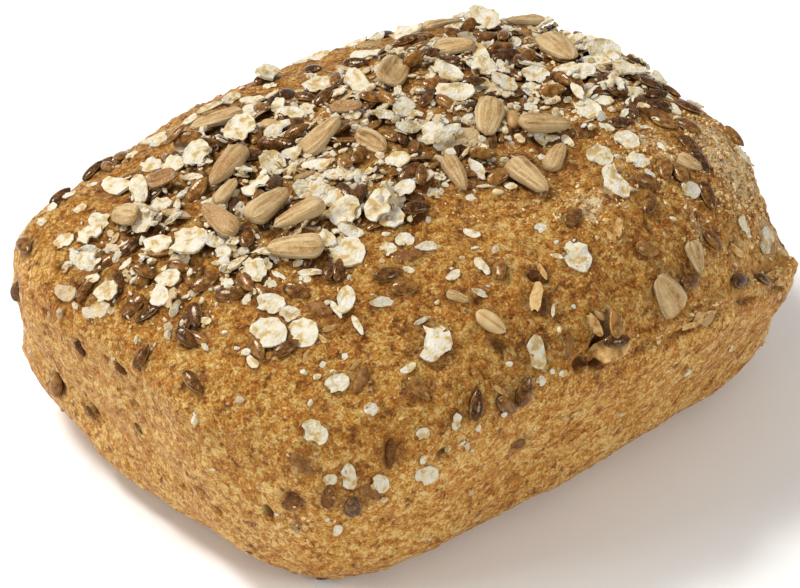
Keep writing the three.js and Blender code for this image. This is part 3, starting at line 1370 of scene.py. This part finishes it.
def ball(name: str, length: float, width: float, thickness: float, around: int,
         rings: int) -> bpy.types.Object:
    """Adds a ball with its poles at the ends of X, as the start of a seed.

    Args:
        name: the object's name.
        length: along X, in metres.
        width: along Y.
        thickness: along Z.
        around: faces around the long axis.
        rings: faces along it.

    Returns:
        The ball.
    """
    bpy.ops.mesh.primitive_uv_sphere_add(
        segments=around, ring_count=rings, radius=length / 2, rotation=(0, -QUARTER, 0),
        scale=(thickness / length, width / length, 1))
    piece = bpy.context.object
    piece.name = name
    settle(piece)
    return piece


def bumpy(piece: bpy.types.Object, number: int, name: str, size: float, strength: float,
          **settings: object) -> None:
    """Displaces a shape by clouds, from a place of its own in them, so that no two are alike.

    Args:
        piece: the shape.
        number: its number among its kind's shapes.
        name: the clouds' name.
        size: how far apart the clouds' swells lie, in metres.
        strength: how far they reach from lowest to highest, in metres.
        settings: more settings of the modifier.
    """
    piece.location.x = number * APART
    bpy.context.view_layer.update()
    add_modifier(piece, "DISPLACE", texture=clouds(name, size), strength=strength, mid_level=0.5,
                 texture_coords="GLOBAL", **settings)


def narrow(piece: bpy.types.Object, taper: float, beak: float) -> None:
    """Narrows a ball towards its +X end and draws that end out into a point.

    Args:
        piece: the ball.
        taper: how much narrower one end gets than the other, as a share.
        beak: how far the point is drawn out, in metres.
    """
    add_modifier(piece, "SIMPLE_DEFORM", deform_method="TAPER", factor=-taper, deform_axis="X")
    tip = max(vertex.co.x for vertex in piece.data.vertices)
    with editing(piece):
        pick(piece, lambda co: co.x > tip - HAIR)
        bpy.ops.transform.translate(value=(beak, 0, 0))


@dataclass(kw_only=True)
class Flaxseeds(Topping):
    """Brown flaxseeds: flat ovals with one pointed end."""

    name: str = "flaxseeds"
    slot: str = "flaxseed"
    finish: Finish = SeedCoat()
    length: tuple[float, float] = (4.4 * MM, 5.2 * MM)
    seed: int = 11
    sowings: tuple[Sowing, ...] = (Sowing(Side.HIDDEN, 9, 1.6 * MM, walls=0.12),
                                   Sowing(Side.SHOWN, 5, 1.6 * MM))
    width: float = 2.6 * MM
    thickness: float = 1.25 * MM
    around: int = 12
    rings: int = 8
    taper: float = 0.32
    beak: float = 0.15 * MM

    def model(self) -> None:
        """Models three seeds, each a little slimmer or fatter."""
        for number, (wide, thick) in enumerate(((1.0, 1.0), (0.9, 1.1), (1.08, 0.85))):
            piece = ball(f"flaxseed_{number}", self.length[1], self.width * wide,
                         self.thickness * thick, self.around, self.rings)
            narrow(piece, self.taper, self.beak)
            self.keep(piece)


@dataclass(kw_only=True)
class SunkFlaxseeds(Flaxseeds):
    """Flaxseeds that were kneaded in, and show through the crust where it has baked thin on them."""

    name: str = "sunk_flaxseeds"
    finish: Finish = SeedCoat(name="crusted_flaxseed", roughness=0.5, gloss=0.15,
                              tones=((0.36, "452710"), (0.52, "6b421f"), (0.74, "90673a")))
    seed: int = 13
    sowings: tuple[Sowing, ...] = (Sowing(Side.HIDDEN, 0, 9 * MM, walls=0.15),)


@dataclass(kw_only=True)
class SunflowerKernels(Topping):
    """Hulled sunflower kernels: flat drops with a blunt and a pointed end, some broken."""

    name: str = "sunflower_kernels"
    slot: str = "sunflower_kernel"
    finish: Finish = KernelFlesh()
    length: tuple[float, float] = (8.6 * MM, 10.2 * MM)
    seed: int = 23
    sowings: tuple[Sowing, ...] = (Sowing(Side.HIDDEN, 1.2, 6 * MM, turned=0.25),)
    width: float = 4.4 * MM
    thickness: float = 2.3 * MM
    around: int = 24
    rings: int = 18
    beak: float = 0.35 * MM
    rib: float = 0.89
    rib_every: int = 3
    rib_reach: float = 0.42
    squareness: float = 0.3
    first_dished: int = 5
    dish: float = 0.34
    dish_shell: float = 0.2 * MM
    dished: float = 0.1

    def model(self) -> None:
        """Models seven kernels: each wider or slimmer, more or less pointed, the last two dished halves."""
        forms = ((1.0, 1.0, 0.55), (0.85, 1.05, 0.7), (1.15, 0.9, 0.4), (0.95, 1.1, 0.8),
                 (1.5, 0.95, 0.8), (1.35, 0.8, 0.15), (1.7, 0.8, 0.1))
        for number, (wide, thick, taper) in enumerate(forms):
            width = self.width * wide
            thickness = self.thickness * thick
            piece = ball(f"sunflower_kernel_{number}", self.length[1], width, thickness,
                         self.around, self.rings)
            with editing(piece):
                for step in range(0, self.around, self.rib_every):
                    side = math.tau * step / self.around
                    across = Vector((0, -math.sin(side) / width, math.cos(side) / thickness)).normalized()
                    outward = Vector((0, math.cos(side), math.sin(side)))
                    pick(piece, lambda co: abs(co.dot(across)) < HAIR and co.dot(outward) > 0
                         and abs(co.x) < self.rib_reach * self.length[1])
                    bpy.ops.transform.resize(value=(1, self.rib, self.rib), center_override=(0, 0, 0))
            add_modifier(piece, "CAST", cast_type="CUBOID", factor=self.squareness)
            if number >= self.first_dished:
                with editing(piece):
                    pick(piece, lambda co: co.z > self.dish_shell and (co.x / self.length[1]) ** 2
                         + (co.y / width) ** 2 < self.dish ** 2)
                    bpy.ops.transform.resize(value=(1, 1, self.dished), center_override=(0, 0, 0))
            narrow(piece, taper, self.beak)
            bumpy(piece, number, "kernel_relief", 2.0 * MM, 0.6 * MM)
            self.keep(piece)


@dataclass(kw_only=True)
class OatFlakes(Topping):
    """Rolled oat flakes: thin ragged ovals, some curled, folded or in strips."""

    name: str = "oat_flakes"
    slot: str = "oat_flake"
    finish: Finish = RolledOat()
    length: tuple[float, float] = (2.2 * MM, 6.4 * MM)
    seed: int = 37
    sowings: tuple[Sowing, ...] = (Sowing(Side.HIDDEN, 13, 1.6 * MM, walls=0.12),
                                   Sowing(Side.SHOWN, 7, 1.6 * MM))
    skew: float = 2.4
    thickness: float = 0.4 * MM
    crisp: float = 48.0
    brownest: float = 0.8
    widths: tuple[float, ...] = (0.9, 0.8, 0.84, 0.72, 0.6, 0.52, 0.45, 0.34, 0.26, 0.85)
    broad: float = 0.65
    bitten: int = 9
    rim: float = 0.9
    tear_reach: float = 0.93
    tears: tuple[float, float] = (0.64, 0.8)
    bite: float = 0.55
    ragged: float = 0.085

    def model(self) -> None:
        """Models the flakes, from round ones to strips, each with its own torn edge and curl."""
        half = self.length[1] / 2
        for number, wide in enumerate(self.widths):
            around, insets = (20, (0.3, 0.32)) if wide > self.broad else (12, (0.45,))
            bpy.ops.mesh.primitive_circle_add(vertices=around, radius=half, fill_type="NGON")
            piece = bpy.context.object
            piece.name = f"oat_flake_{number}"
            with editing(piece):
                bpy.ops.mesh.select_all(action="SELECT")
                for share in insets:
                    bpy.ops.mesh.inset(thickness=share * half)
                bpy.ops.mesh.poke()
                for _ in range(1 + number % 2):
                    turn = self.random.uniform(0, math.tau)
                    tear = Vector((math.cos(turn), math.sin(turn), 0))
                    pick(piece, lambda co: co.length > self.rim * half
                         and co.normalized().dot(tear) > self.tear_reach)
                    torn = self.random.uniform(*self.tears)
                    bpy.ops.transform.resize(value=(torn, torn, 1), center_override=(0, 0, 0))
                if number == self.bitten:
                    pick(piece, lambda co: co.length > 0.6 * half and co.y > 0.7 * co.length)
                    bpy.ops.transform.translate(value=(0, -self.bite * half, 0))
                pick(piece, lambda co: co.length > 0.5 * half)
                bpy.ops.transform.vertex_random(offset=self.ragged * half, seed=number)
            piece.scale = (1, wide, 1)
            settle(piece)
            for way, size, strength in (("X", 2.4, 0.8), ("Y", 2.0, 0.7), ("Z", 2.0, 2.0)):
                curl = strength * MM * (1 + wide) / 2
                bumpy(piece, number, "oat_curl", size * MM, curl, direction=way)
            add_modifier(piece, "SOLIDIFY", thickness=self.thickness, offset=0)
            self.keep(piece)


@dataclass(kw_only=True)
class SkinFlakes(OatFlakes):
    """Flakes of the crust's own skin, peeled up where the dough tore."""

    name: str = "peeled_skin"
    slot: str = "crust"
    finish: Finish = RolledOat(name="peeled_crust_skin", roughness=0.5, gloss=0.3, toasted="8a5a28",
                               tones=((0.37, "a0733c"), (0.46, "c2965a"), (0.6, "d2b077")))
    seed: int = 43
    sowings: tuple[Sowing, ...] = ()


@dataclass(kw_only=True)
class OatCrumbs(Topping):
    """Chips of oat and bran, from dust of half a millimetre to bits of two."""

    name: str = "oat_crumbs"
    slot: str = "oat_flake"
    finish: Finish = RolledOat(name="broken_oat_bits")
    length: tuple[float, float] = (0.5 * MM, 2.0 * MM)
    seed: int = 51
    sowings: tuple[Sowing, ...] = (Sowing(Side.HIDDEN, 45, 0.6 * MM, walls=0.7),
                                   Sowing(Side.SHOWN, 45, 0.6 * MM, walls=0.7))
    crisp: float = 20.0
    skew: float = 2.0
    brownest: float = 0.7
    chips: int = 6
    widths: tuple[float, float] = (0.45, 0.85)
    heights: tuple[float, float] = (0.25, 0.45)
    lean: float = 0.4

    def model(self) -> None:
        """Models the chips, each a cut ball pressed flat."""
        for number in range(self.chips):
            bpy.ops.mesh.primitive_ico_sphere_add(subdivisions=1, radius=MM)
            piece = bpy.context.object
            piece.name = f"crumb_{number}"
            piece.scale = (1, self.random.uniform(*self.widths), self.random.uniform(*self.heights))
            piece.rotation_euler.x = self.random.uniform(-self.lean, self.lean)
            settle(piece)
            bumpy(piece, number, "crumb_edge", 0.7 * MM, 0.7 * MM)
            self.keep(piece)


@dataclass(kw_only=True)
class CrustCrumbs(OatCrumbs):
    """Granules of baked dough that stand on the crust, half sunk in it."""

    name: str = "crust_crumbs"
    slot: str = "crust"
    finish: Finish = RolledOat(name="baked_dough_granules", roughness=0.5, gloss=0.3,
                               toasted="9a6833",
                               tones=((0.37, "c08f49"), (0.46, "dfba7c"), (0.6, "edd6a2")))
    length: tuple[float, float] = (0.25 * MM, 1.0 * MM)
    seed: int = 59
    sowings: tuple[Sowing, ...] = (Sowing(Side.HIDDEN, 25, 0.8 * MM, walls=3),)


@dataclass(kw_only=True)
class CerealGrains(Topping):
    """Wheat kernels and halves of them: golden ovals with a crease."""

    name: str = "cereal_grains"
    slot: str = "cereal_grain"
    finish: Finish = GrainSkin()
    length: tuple[float, float] = (5.2 * MM, 6.4 * MM)
    seed: int = 67
    sowings: tuple[Sowing, ...] = (Sowing(Side.HIDDEN, 0.2, 9 * MM, turned=0.25),)
    width: float = 3.6 * MM
    thickness: float = 2.6 * MM
    around: int = 20
    rings: int = 14
    taper: float = 0.3
    beak: float = 0.1 * MM
    crease: float = 0.4
    crease_side: float = 0.1 * MM
    crease_top: float = 0.3 * MM

    def model(self) -> None:
        """Models a kernel with its crease upward, a smooth half and a short round half."""
        for number, (wide, creased) in enumerate(((0.95, True), (1.05, False), (1.45, False))):
            piece = ball(f"cereal_grain_{number}", self.length[1], self.width * wide, self.thickness,
                         self.around, self.rings)
            if creased:
                with editing(piece):
                    pick(piece, lambda co: abs(co.y) < self.crease_side and co.z > self.crease_top)
                    bpy.ops.transform.resize(value=(1, 1, self.crease), center_override=(0, 0, 0))
            narrow(piece, self.taper, self.beak)
            bumpy(piece, number, "grain_relief", 2.5 * MM, 0.4 * MM)
            self.keep(piece)


# ---------------------------------------------------------------- where the photograph shows them


KERNEL_SPOTS = spots(
    (217, 119, 195, 9.4, 0.0), (125, 210, 170, 6.4), (226, 191, 50, 5.0, 0.1),
    (220, 218, 142, 7.0, 0.4), (297, 251, 180, 9.6, 0.0), (370, 45, 8, 4.7, 0.3), (455, 44, 3, 7.2),
    (443, 24, 15, 7.4, 0.0), (527, 24, 177, 7.0, 0.0), (558, 47, -45, 7.4, 0.1),
    (489, 116, -100, 6.0, 0.0), (544, 125, 12, 9.4, 0.0), (556, 157, 60, 5.2), (529, 175, -38, 7.7),
    (456, 172, -60, 6.0, 0.4), (458, 297, -20, 4.0), (305, 176, 5, 4.0, 0.6), forms=(0, 1, 2, 3))
KERNEL_SPOTS += spots(
    (668, 294, 125, 7.6, 0.0), (696, 257, -75, 5.6, 0.0), (690, 163, -30, 4.6, 0.0), forms=(4,))
KERNEL_SPOTS += spots(
    (346, 107, -3, 5.6, 0.8), (393, 71, 60, 5.2, 0.3), (163, 181, 10, 5.4, 0.8),
    (372, 140, -30, 5.4, 0.0), pose=Pose.TILTED, forms=(5,))
KERNEL_SPOTS += spots(
    (227, 165, 232, 8.4, 0.4), (322, 133, 37, 8.2), pose=Pose.FLAT, forms=(1, 3))
KERNEL_SPOTS += spots(
    (268, 205, 42, 8.6), (300, 217, 206, 9.2), pose=Pose.PROUD, forms=(1, 3))
GRAIN_SPOTS = spots(
    (491, 322, -35, 5.6, 0.3), forms=(0,))
GRAIN_SPOTS += spots(
    (515, 118, 90, 2.4, 0.6), (498, 192, 0, 2.0), forms=(1,))
GRAIN_SPOTS += spots(
    (270, 119, 0, 3.4, 0.4), forms=(2,))
FLAX_SPOTS = spots(
    (25, 246, -50), (103, 159, 35), (95, 170, 40), (121, 155, 60), (130, 246, 42), (143, 271, -13),
    (205, 282, 32), (228, 295, 0), (245, 281, -52), (130, 178, 20), (198, 190, 40), (205, 146, 10),
    (194, 315, -80), (187, 337, -40), (141, 356, 55), (192, 382, -50), (257, 348, -65),
    (286, 348, 35), (296, 290, -15), (245, 235, 90), (262, 108, -25), (305, 97, -10),
    (292, 123, 20), (250, 155, 0), (345, 192, -50), (357, 193, 60), (418, 48, 3), (390, 54, 0),
    (345, 160, 90), (372, 94, 0), (410, 173, 35), (422, 174, 85), (428, 98, 42), (447, 103, -30),
    (435, 84, 0), (458, 126, 0), (487, 37, 15), (503, 35, 80), (500, 47, 10), (505, 57, 15),
    (550, 80, 45), (490, 142, 60), (500, 176, 15), (632, 74, -45), (650, 84, -20), (670, 86, -40),
    (690, 107, -25), (665, 123, -20), (688, 127, -35), (690, 144, -45), (622, 122, 0),
    (633, 112, -60), (665, 168, -85), (681, 173, -65), (708, 195, -70), (650, 204, 65),
    (647, 249, -15), (573, 217, 45), (713, 240, -50), (741, 282, 10), (765, 281, -8),
    (500, 269, -87), (416, 207, 8), (388, 274, 15), (404, 288, -5), (612, 341, -2), (614, 325, 80),
    (418, 388, -45), (477, 406, 80), (507, 405, -35), (525, 392, 75), (56, 384, 85), (353, 507, 85),
    (691, 281, 20, 3.4), pose=Pose.PROUD)
FLAX_SPOTS += spots(
    (60, 197, 45), (108, 167, 0), (85, 290, 58), (188, 139, 12), (180, 146, 18), (265, 80, 25),
    (287, 95, 40), (312, 69, -3), (325, 97, 33), (337, 78, 80), (270, 143, -5), (297, 130, 15),
    (275, 183, 60), (339, 270, 80), (330, 269, 85), (385, 33, 30), (398, 47, 10), (408, 43, 25),
    (428, 53, 5), (415, 65, 20), (386, 100, -30), (472, 83, 0), (470, 20, 25), (455, 34, 10),
    (527, 55, 18), (565, 80, -30), (552, 91, 3), (482, 156, -5), (613, 83, -30), (656, 95, -3),
    (658, 105, -10), (648, 109, -28), (647, 181, -10), (733, 134, -50), (355, 63, 0), (345, 81, 20),
    (520, 62, 30), (575, 92, -40), (640, 96, 20), (700, 160, -50), pose=Pose.TILTED)
SUNK_SPOTS = spots(
    (320, 309, -20), (408, 257, 5), (538, 278, -25), (540, 305, 90), (568, 346, 80), (361, 380, 70),
    (519, 443, -10), (303, 464, -45), (294, 500, 30), (328, 497, 75), (372, 492, -45),
    (139, 428, -50, 2.6), (122, 369, -45, 2.8), (80, 348, -60, 3.4), (390, 452, 85),
    (92, 413, -60, 3.0), (14, 292, 80, 3.4), pose=Pose.SUNK)
BROAD_FLAKES = spots(
    (90, 233, 55, 4.0), (150, 165, 0, 3.7), (172, 163, 0, 4.2), (160, 205, 10, 4.4),
    (189, 243, -65, 6.2), (159, 296, -55, 3.5), (106, 292, 25, 4.4), (240, 129, 60, 4.4),
    (257, 184, 60, 4.0), (345, 209, 40, 5.0), (350, 45, 0, 2.3), (398, 160, 5, 4.4),
    (502, 82, -5, 5.2), (484, 71, 0, 4.7), (584, 72, 0, 4.0), (587, 109, -40, 4.2),
    (627, 140, -10, 4.5), (600, 156, 5, 4.5), (638, 160, -5, 4.0), (690, 190, 0, 3.2),
    (405, 189, 20, 3.4), (380, 206, 50, 4.7), (345, 252, -30, 6.7), (388, 248, 0, 2.9),
    (405, 240, 20, 3.0), (253, 269, -50, 4.0), (290, 314, 0, 3.4), (268, 333, -20, 5.7),
    (303, 333, -50, 4.7), (577, 256, -55, 5.7), (541, 228, 0, 2.2), (337, 384, 30, 4.0),
    (427, 475, 0, 3.7), (80, 209, 40, 2.3), (132, 155, 30, 2.3), (227, 283, 0, 2.2),
    (206, 322, 0, 1.7), (515, 42, 0, 2.3), (463, 108, 0, 2.3), (408, 270, 0, 2.0),
    (305, 279, 0, 1.9), (380, 484, -60, 3.0), (423, 434, 30, 2.3), (541, 381, 0, 1.7),
    (371, 409, 10, 2.3), (271, 284, 0, 2.0), (530, 108, 0, 2.4), forms=(0, 1, 2, 3))
BROAD_FLAKES += spots(
    (433, 342, 85, 7.0, 0.0), (619, 182, -40, 6.4, 0.0), forms=(9,))
BROAD_FLAKES += spots(
    (315, 432, -40, 4.6, 0.0), forms=(1,))
LONG_FLAKES = spots(
    (64, 242, 35, 3.7), (70, 196, 30, 2.7), (92, 185, 30, 2.0), (118, 187, -15, 5.4),
    (198, 158, 65, 3.7), (157, 245, 5, 5.0), (212, 240, -10, 3.7), (223, 252, 10, 2.7),
    (124, 244, 30, 2.2), (117, 256, 60, 2.0), (126, 264, 35, 2.7), (168, 279, 20, 4.4),
    (92, 279, 20, 2.3), (155, 138, 28, 5.0), (248, 112, -70, 2.3), (254, 100, -10, 4.4),
    (291, 113, 0, 4.4), (318, 85, 20, 5.4), (357, 82, -45, 4.7), (293, 152, 5, 3.7),
    (318, 163, 0, 4.4), (242, 169, -60, 2.3), (312, 191, -8, 5.7), (333, 199, 60, 3.0),
    (333, 175, 60, 3.0), (445, 71, -15, 5.4), (456, 92, -5, 6.7), (408, 126, 10, 4.7),
    (434, 132, -12, 4.9), (503, 67, -30, 2.7), (385, 118, 0, 3.4), (535, 75, 5, 4.7),
    (535, 51, 0, 4.2), (567, 68, 50, 3.0), (600, 98, -15, 5.2), (606, 127, -10, 3.0),
    (633, 91, -5, 4.2), (675, 110, -60, 2.3), (350, 230, -5, 4.4), (325, 238, -40, 3.0),
    (345, 300, 80, 4.7), (270, 304, 0, 4.7), (453, 275, 40, 2.7), (472, 233, -20, 3.0),
    (511, 186, -35, 2.5), (537, 354, -80, 5.7), (253, 362, -50, 2.5), (349, 478, -85, 3.9),
    (768, 240, 80, 3.7), (707, 319, 40, 2.9, 1.0), (330, 480, 20, 2.3), (457, 421, 80, 2.9),
    (408, 368, 30, 2.7), (337, 530, 60, 2.0), (602, 52, 0, 5.4), (622, 66, -40, 4.4),
    (745, 157, -60, 4.7), (405, 33, -10, 4.0), (403, 104, 50, 4.0), forms=(3, 4, 5))
THIN_FLAKES = spots(
    (88, 250, 5, 4.4), (139, 189, -80, 5.0), (193, 177, -12, 4.2), (183, 193, 50, 3.0),
    (177, 204, 90, 2.3), (173, 217, 28, 3.7), (237, 263, 50, 4.4), (175, 309, 60, 3.0),
    (210, 108, 22, 5.0), (231, 101, 20, 3.0), (277, 128, 28, 4.7), (270, 86, 5, 2.5),
    (278, 159, -20, 3.0), (279, 172, 20, 2.5), (325, 150, 10, 2.7), (368, 54, 0, 6.4),
    (398, 90, 80, 2.3), (412, 113, 5, 3.7), (532, 65, 12, 5.5), (486, 45, 12, 2.9),
    (482, 54, -55, 3.0), (455, 31, 30, 5.0), (466, 36, 10, 4.4), (650, 173, -25, 2.2),
    (745, 227, -60, 4.0), (448, 148, 25, 4.7), (478, 169, -50, 4.0), (484, 147, -50, 1.7),
    (552, 138, 12, 2.7), (568, 141, -45, 2.5), (302, 237, -5, 4.4), (427, 246, 8, 4.2),
    (311, 272, 0, 4.4), (247, 297, 65, 2.5), (337, 309, -55, 3.4), (382, 302, 10, 4.4),
    (358, 325, -60, 3.7), (482, 266, -45, 3.4), (557, 256, -20, 2.3), (553, 310, 85, 2.2),
    (480, 292, -25, 2.9), (422, 320, 25, 2.9), (312, 60, 10, 5.4), (643, 108, -20, 2.2),
    (656, 119, -40, 2.0), (668, 97, -30, 2.4), (632, 99, 10, 2.2), (616, 94, -40, 2.6),
    (590, 92, 20, 2.8), (605, 82, -15, 2.6), (578, 97, -60, 2.6), (662, 147, -50, 2.0),
    (645, 127, 0, 2.2), (625, 113, 30, 2.0), pose=Pose.PROUD, forms=(6, 7, 8))
UPRIGHT_FLAKES = spots(
    (266, 72, 45, 4.0), (485, 17, -15, 5.0), (576, 38, -40, 5.7), (360, 40, 20, 3.6),
    (545, 33, -50, 3.0), (640, 70, -40, 3.6), (232, 97, 30, 3.4), (300, 62, 20, 3.0),
    (322, 56, 10, 3.6), (378, 33, 20, 2.8), (420, 24, 10, 3.0), (462, 17, 30, 2.6),
    (508, 18, 0, 3.0), (592, 45, -40, 3.2), (612, 53, -30, 3.0), (658, 78, -50, 3.0),
    (160, 141, 30, 3.2), (190, 120, 40, 2.8), pose=Pose.TILTED, forms=(4, 5))
SKIN_SPOTS = spots(
    (537, 297, 80, 4.5), (542, 271, -60, 3.0), (595, 325, -65, 4.0, 0.0), (500, 391, -40, 2.8),
    (403, 417, 30, 2.0), (330, 328, 20, 3.0), (320, 338, -30, 2.4), (600, 315, -50, 2.2),
    (127, 262, 20, 2.0), (306, 356, 60, 2.0), (355, 365, 30, 2.2), (577, 414, 20, 2.2),
    (622, 351, 16, 3.6, 0.0), (697, 318, 30, 3.6, 0.0), (710, 312, 10, 2.6), (690, 325, 35, 2.6),
    (736, 250, -40, 3.0), (618, 228, 80, 3.0), (612, 236, -60, 2.4), (770, 274, 20, 2.4),
    (780, 281, 0, 2.0), pose=Pose.TILTED, forms=(6, 7, 8))
SKIN_SPOTS += spots(
    (611, 352, 18, 5.6, 0.0), pose=Pose.TILTED, forms=(4,))
CRUMB_SPOTS = spots(
    (559, 330, 80, 1.2), (563, 373, 0, 1.4), (552, 371, -50, 1.0), (502, 413, 70, 1.3),
    (478, 428, 80, 1.3), (423, 460, 80, 1.4), (310, 403, 60, 1.2), (345, 357, 60, 1.1),
    (333, 372, 0, 1.2), (317, 377, 20, 1.4), (304, 373, -30, 1.3), (323, 365, 30, 1.2),
    (246, 352, 10, 1.8), (237, 349, 0, 1.1), (225, 333, 20, 1.1), (112, 312, 60, 1.3),
    (195, 420, 80, 1.5), (42, 222, 0, 1.6), (50, 205, 30, 1.9), (69, 264, 0, 1.2),
    (152, 261, 10, 1.7), (155, 229, 30, 1.8), (223, 262, 0, 1.9), (209, 157, 0, 1.6),
    (370, 172, 0, 1.6), (350, 177, 20, 1.9), (389, 184, 0, 1.8), (386, 234, 0, 1.5),
    (382, 261, 0, 1.1), (437, 303, 60, 1.1), (470, 198, 0, 1.6), (475, 249, 10, 1.4),
    (462, 258, 0, 1.0), (673, 219, 0, 1.4), (618, 157, 0, 1.5), (573, 307, 0, 0.9),
    (328, 305, 0, 1.3), (462, 443, 30, 1.2), (448, 449, 60, 1.2), (383, 498, 10, 1.4),
    (509, 364, 0, 1.1), (430, 118, 60, 1.8), (450, 112, 0, 1.2), (545, 108, 0, 1.8),
    (515, 108, 30, 1.5), (555, 112, 60, 1.3), (505, 158, 0, 1.6), (450, 153, 0, 1.9),
    (467, 158, 20, 1.9), (576, 78, 0, 1.5), (589, 87, 40, 1.4), (570, 91, 70, 1.2),
    (595, 97, 20, 1.3), (580, 104, 0, 1.5), (566, 102, 30, 1.1), (609, 92, 60, 1.4),
    (618, 100, 0, 1.2), (600, 116, 45, 1.3), (590, 127, 50, 1.0), (574, 120, 15, 1.2),
    (612, 76, 25, 1.2), (640, 82, 0, 1.2), (677, 118, 0, 1.2))


@dataclass(frozen=True)
class Patch:
    """An ellipse in the photograph where granules lie close together.

    Its middle, length and width are in pixels, its turn in degrees, and count is how many lie there.
    Their own lengths, in millimetres, go from shortest to longest, and most are near the usual.
    """

    px: float
    py: float
    turn: float
    length: float
    width: float
    count: int
    shortest: float = 0.25
    longest: float = 0.9
    usual: float = 0.3

    def strew(self, seed: int) -> list[Spot]:
        """Chooses places in it.

        Args:
            seed: what the random order starts from.

        Returns:
            The places, each with its own turn and toast.
        """
        order = random.Random(seed)
        found = []
        for _ in range(self.count):
            out = math.sqrt(order.random()) / 2
            way = order.uniform(0, math.tau)
            spot = Vector((out * self.length * math.cos(way), out * self.width * math.sin(way)))
            spot.rotate(Matrix.Rotation(math.radians(-self.turn), 2))
            found.append(Spot(self.px + spot.x, self.py + spot.y, order.uniform(0, 180),
                              order.triangular(self.shortest, self.longest, self.usual),
                              order.random(), Pose.SUNK))
        return found


GRANULE_PATCHES = (
    Patch(727, 160, -62, 130, 70, 620), Patch(765, 235, -65, 90, 40, 90),
    Patch(700, 225, -60, 120, 60, 90), Patch(575, 205, 10, 110, 50, 130),
    Patch(610, 245, 80, 90, 40, 60), Patch(700, 316, 22, 70, 14, 60),
    Patch(770, 277, 10, 50, 12, 40), Patch(290, 520, 25, 110, 60, 60),
    Patch(640, 345, 20, 80, 20, 30), Patch(610, 105, -30, 220, 90, 300),
    Patch(650, 165, -40, 140, 60, 140), Patch(450, 200, 0, 260, 70, 140),
    Patch(330, 250, 20, 200, 90, 110))


def main() -> None:
    """Builds the scene, piece by piece."""
    VIEW.add_camera()
    Studio().build()
    crust = Crust()
    skin = crust.build()
    LOG.info("crust: %d faces", len(skin.data.polygons))
    bed = Bed(skin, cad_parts[NODE])
    sower = Sower(bed)

    sunk = SunkFlaxseeds(spots=SUNK_SPOTS)
    granules = CrustCrumbs(spots=[spot for number, patch in enumerate(GRANULE_PATCHES)
                                  for spot in patch.strew(number)])
    flax = Flaxseeds(spots=FLAX_SPOTS)
    flakes = OatFlakes(spots=BROAD_FLAKES + LONG_FLAKES + THIN_FLAKES + UPRIGHT_FLAKES)
    crumbs = OatCrumbs(spots=CRUMB_SPOTS)
    peeled = SkinFlakes(spots=SKIN_SPOTS)
    grains = CerealGrains(spots=GRAIN_SPOTS)
    kernels = SunflowerKernels(spots=KERNEL_SPOTS)

    # What lies lowest is laid first.
    sunk.lay_seen(bed)
    sunk.lay_scattered(bed, sower)
    granules.lay_seen(bed)
    for topping in (granules, flax, flakes, crumbs):
        topping.lay_scattered(bed, sower)
    for topping in (peeled, flax, flakes, grains):
        topping.lay_seen(bed)
    grains.lay_scattered(bed, sower)
    kernels.lay_seen(bed)
    kernels.lay_scattered(bed, sower)
    crumbs.lay_seen(bed)
    crust.darken(skin, bed)
    for topping in (sunk, granules, flax, flakes, grains, kernels, crumbs, peeled):
        topping.join()
    crust.dress(skin)


if __name__ == "__main__":
    logging.basicConfig(level=logging.INFO, format="%(message)s")
    main()
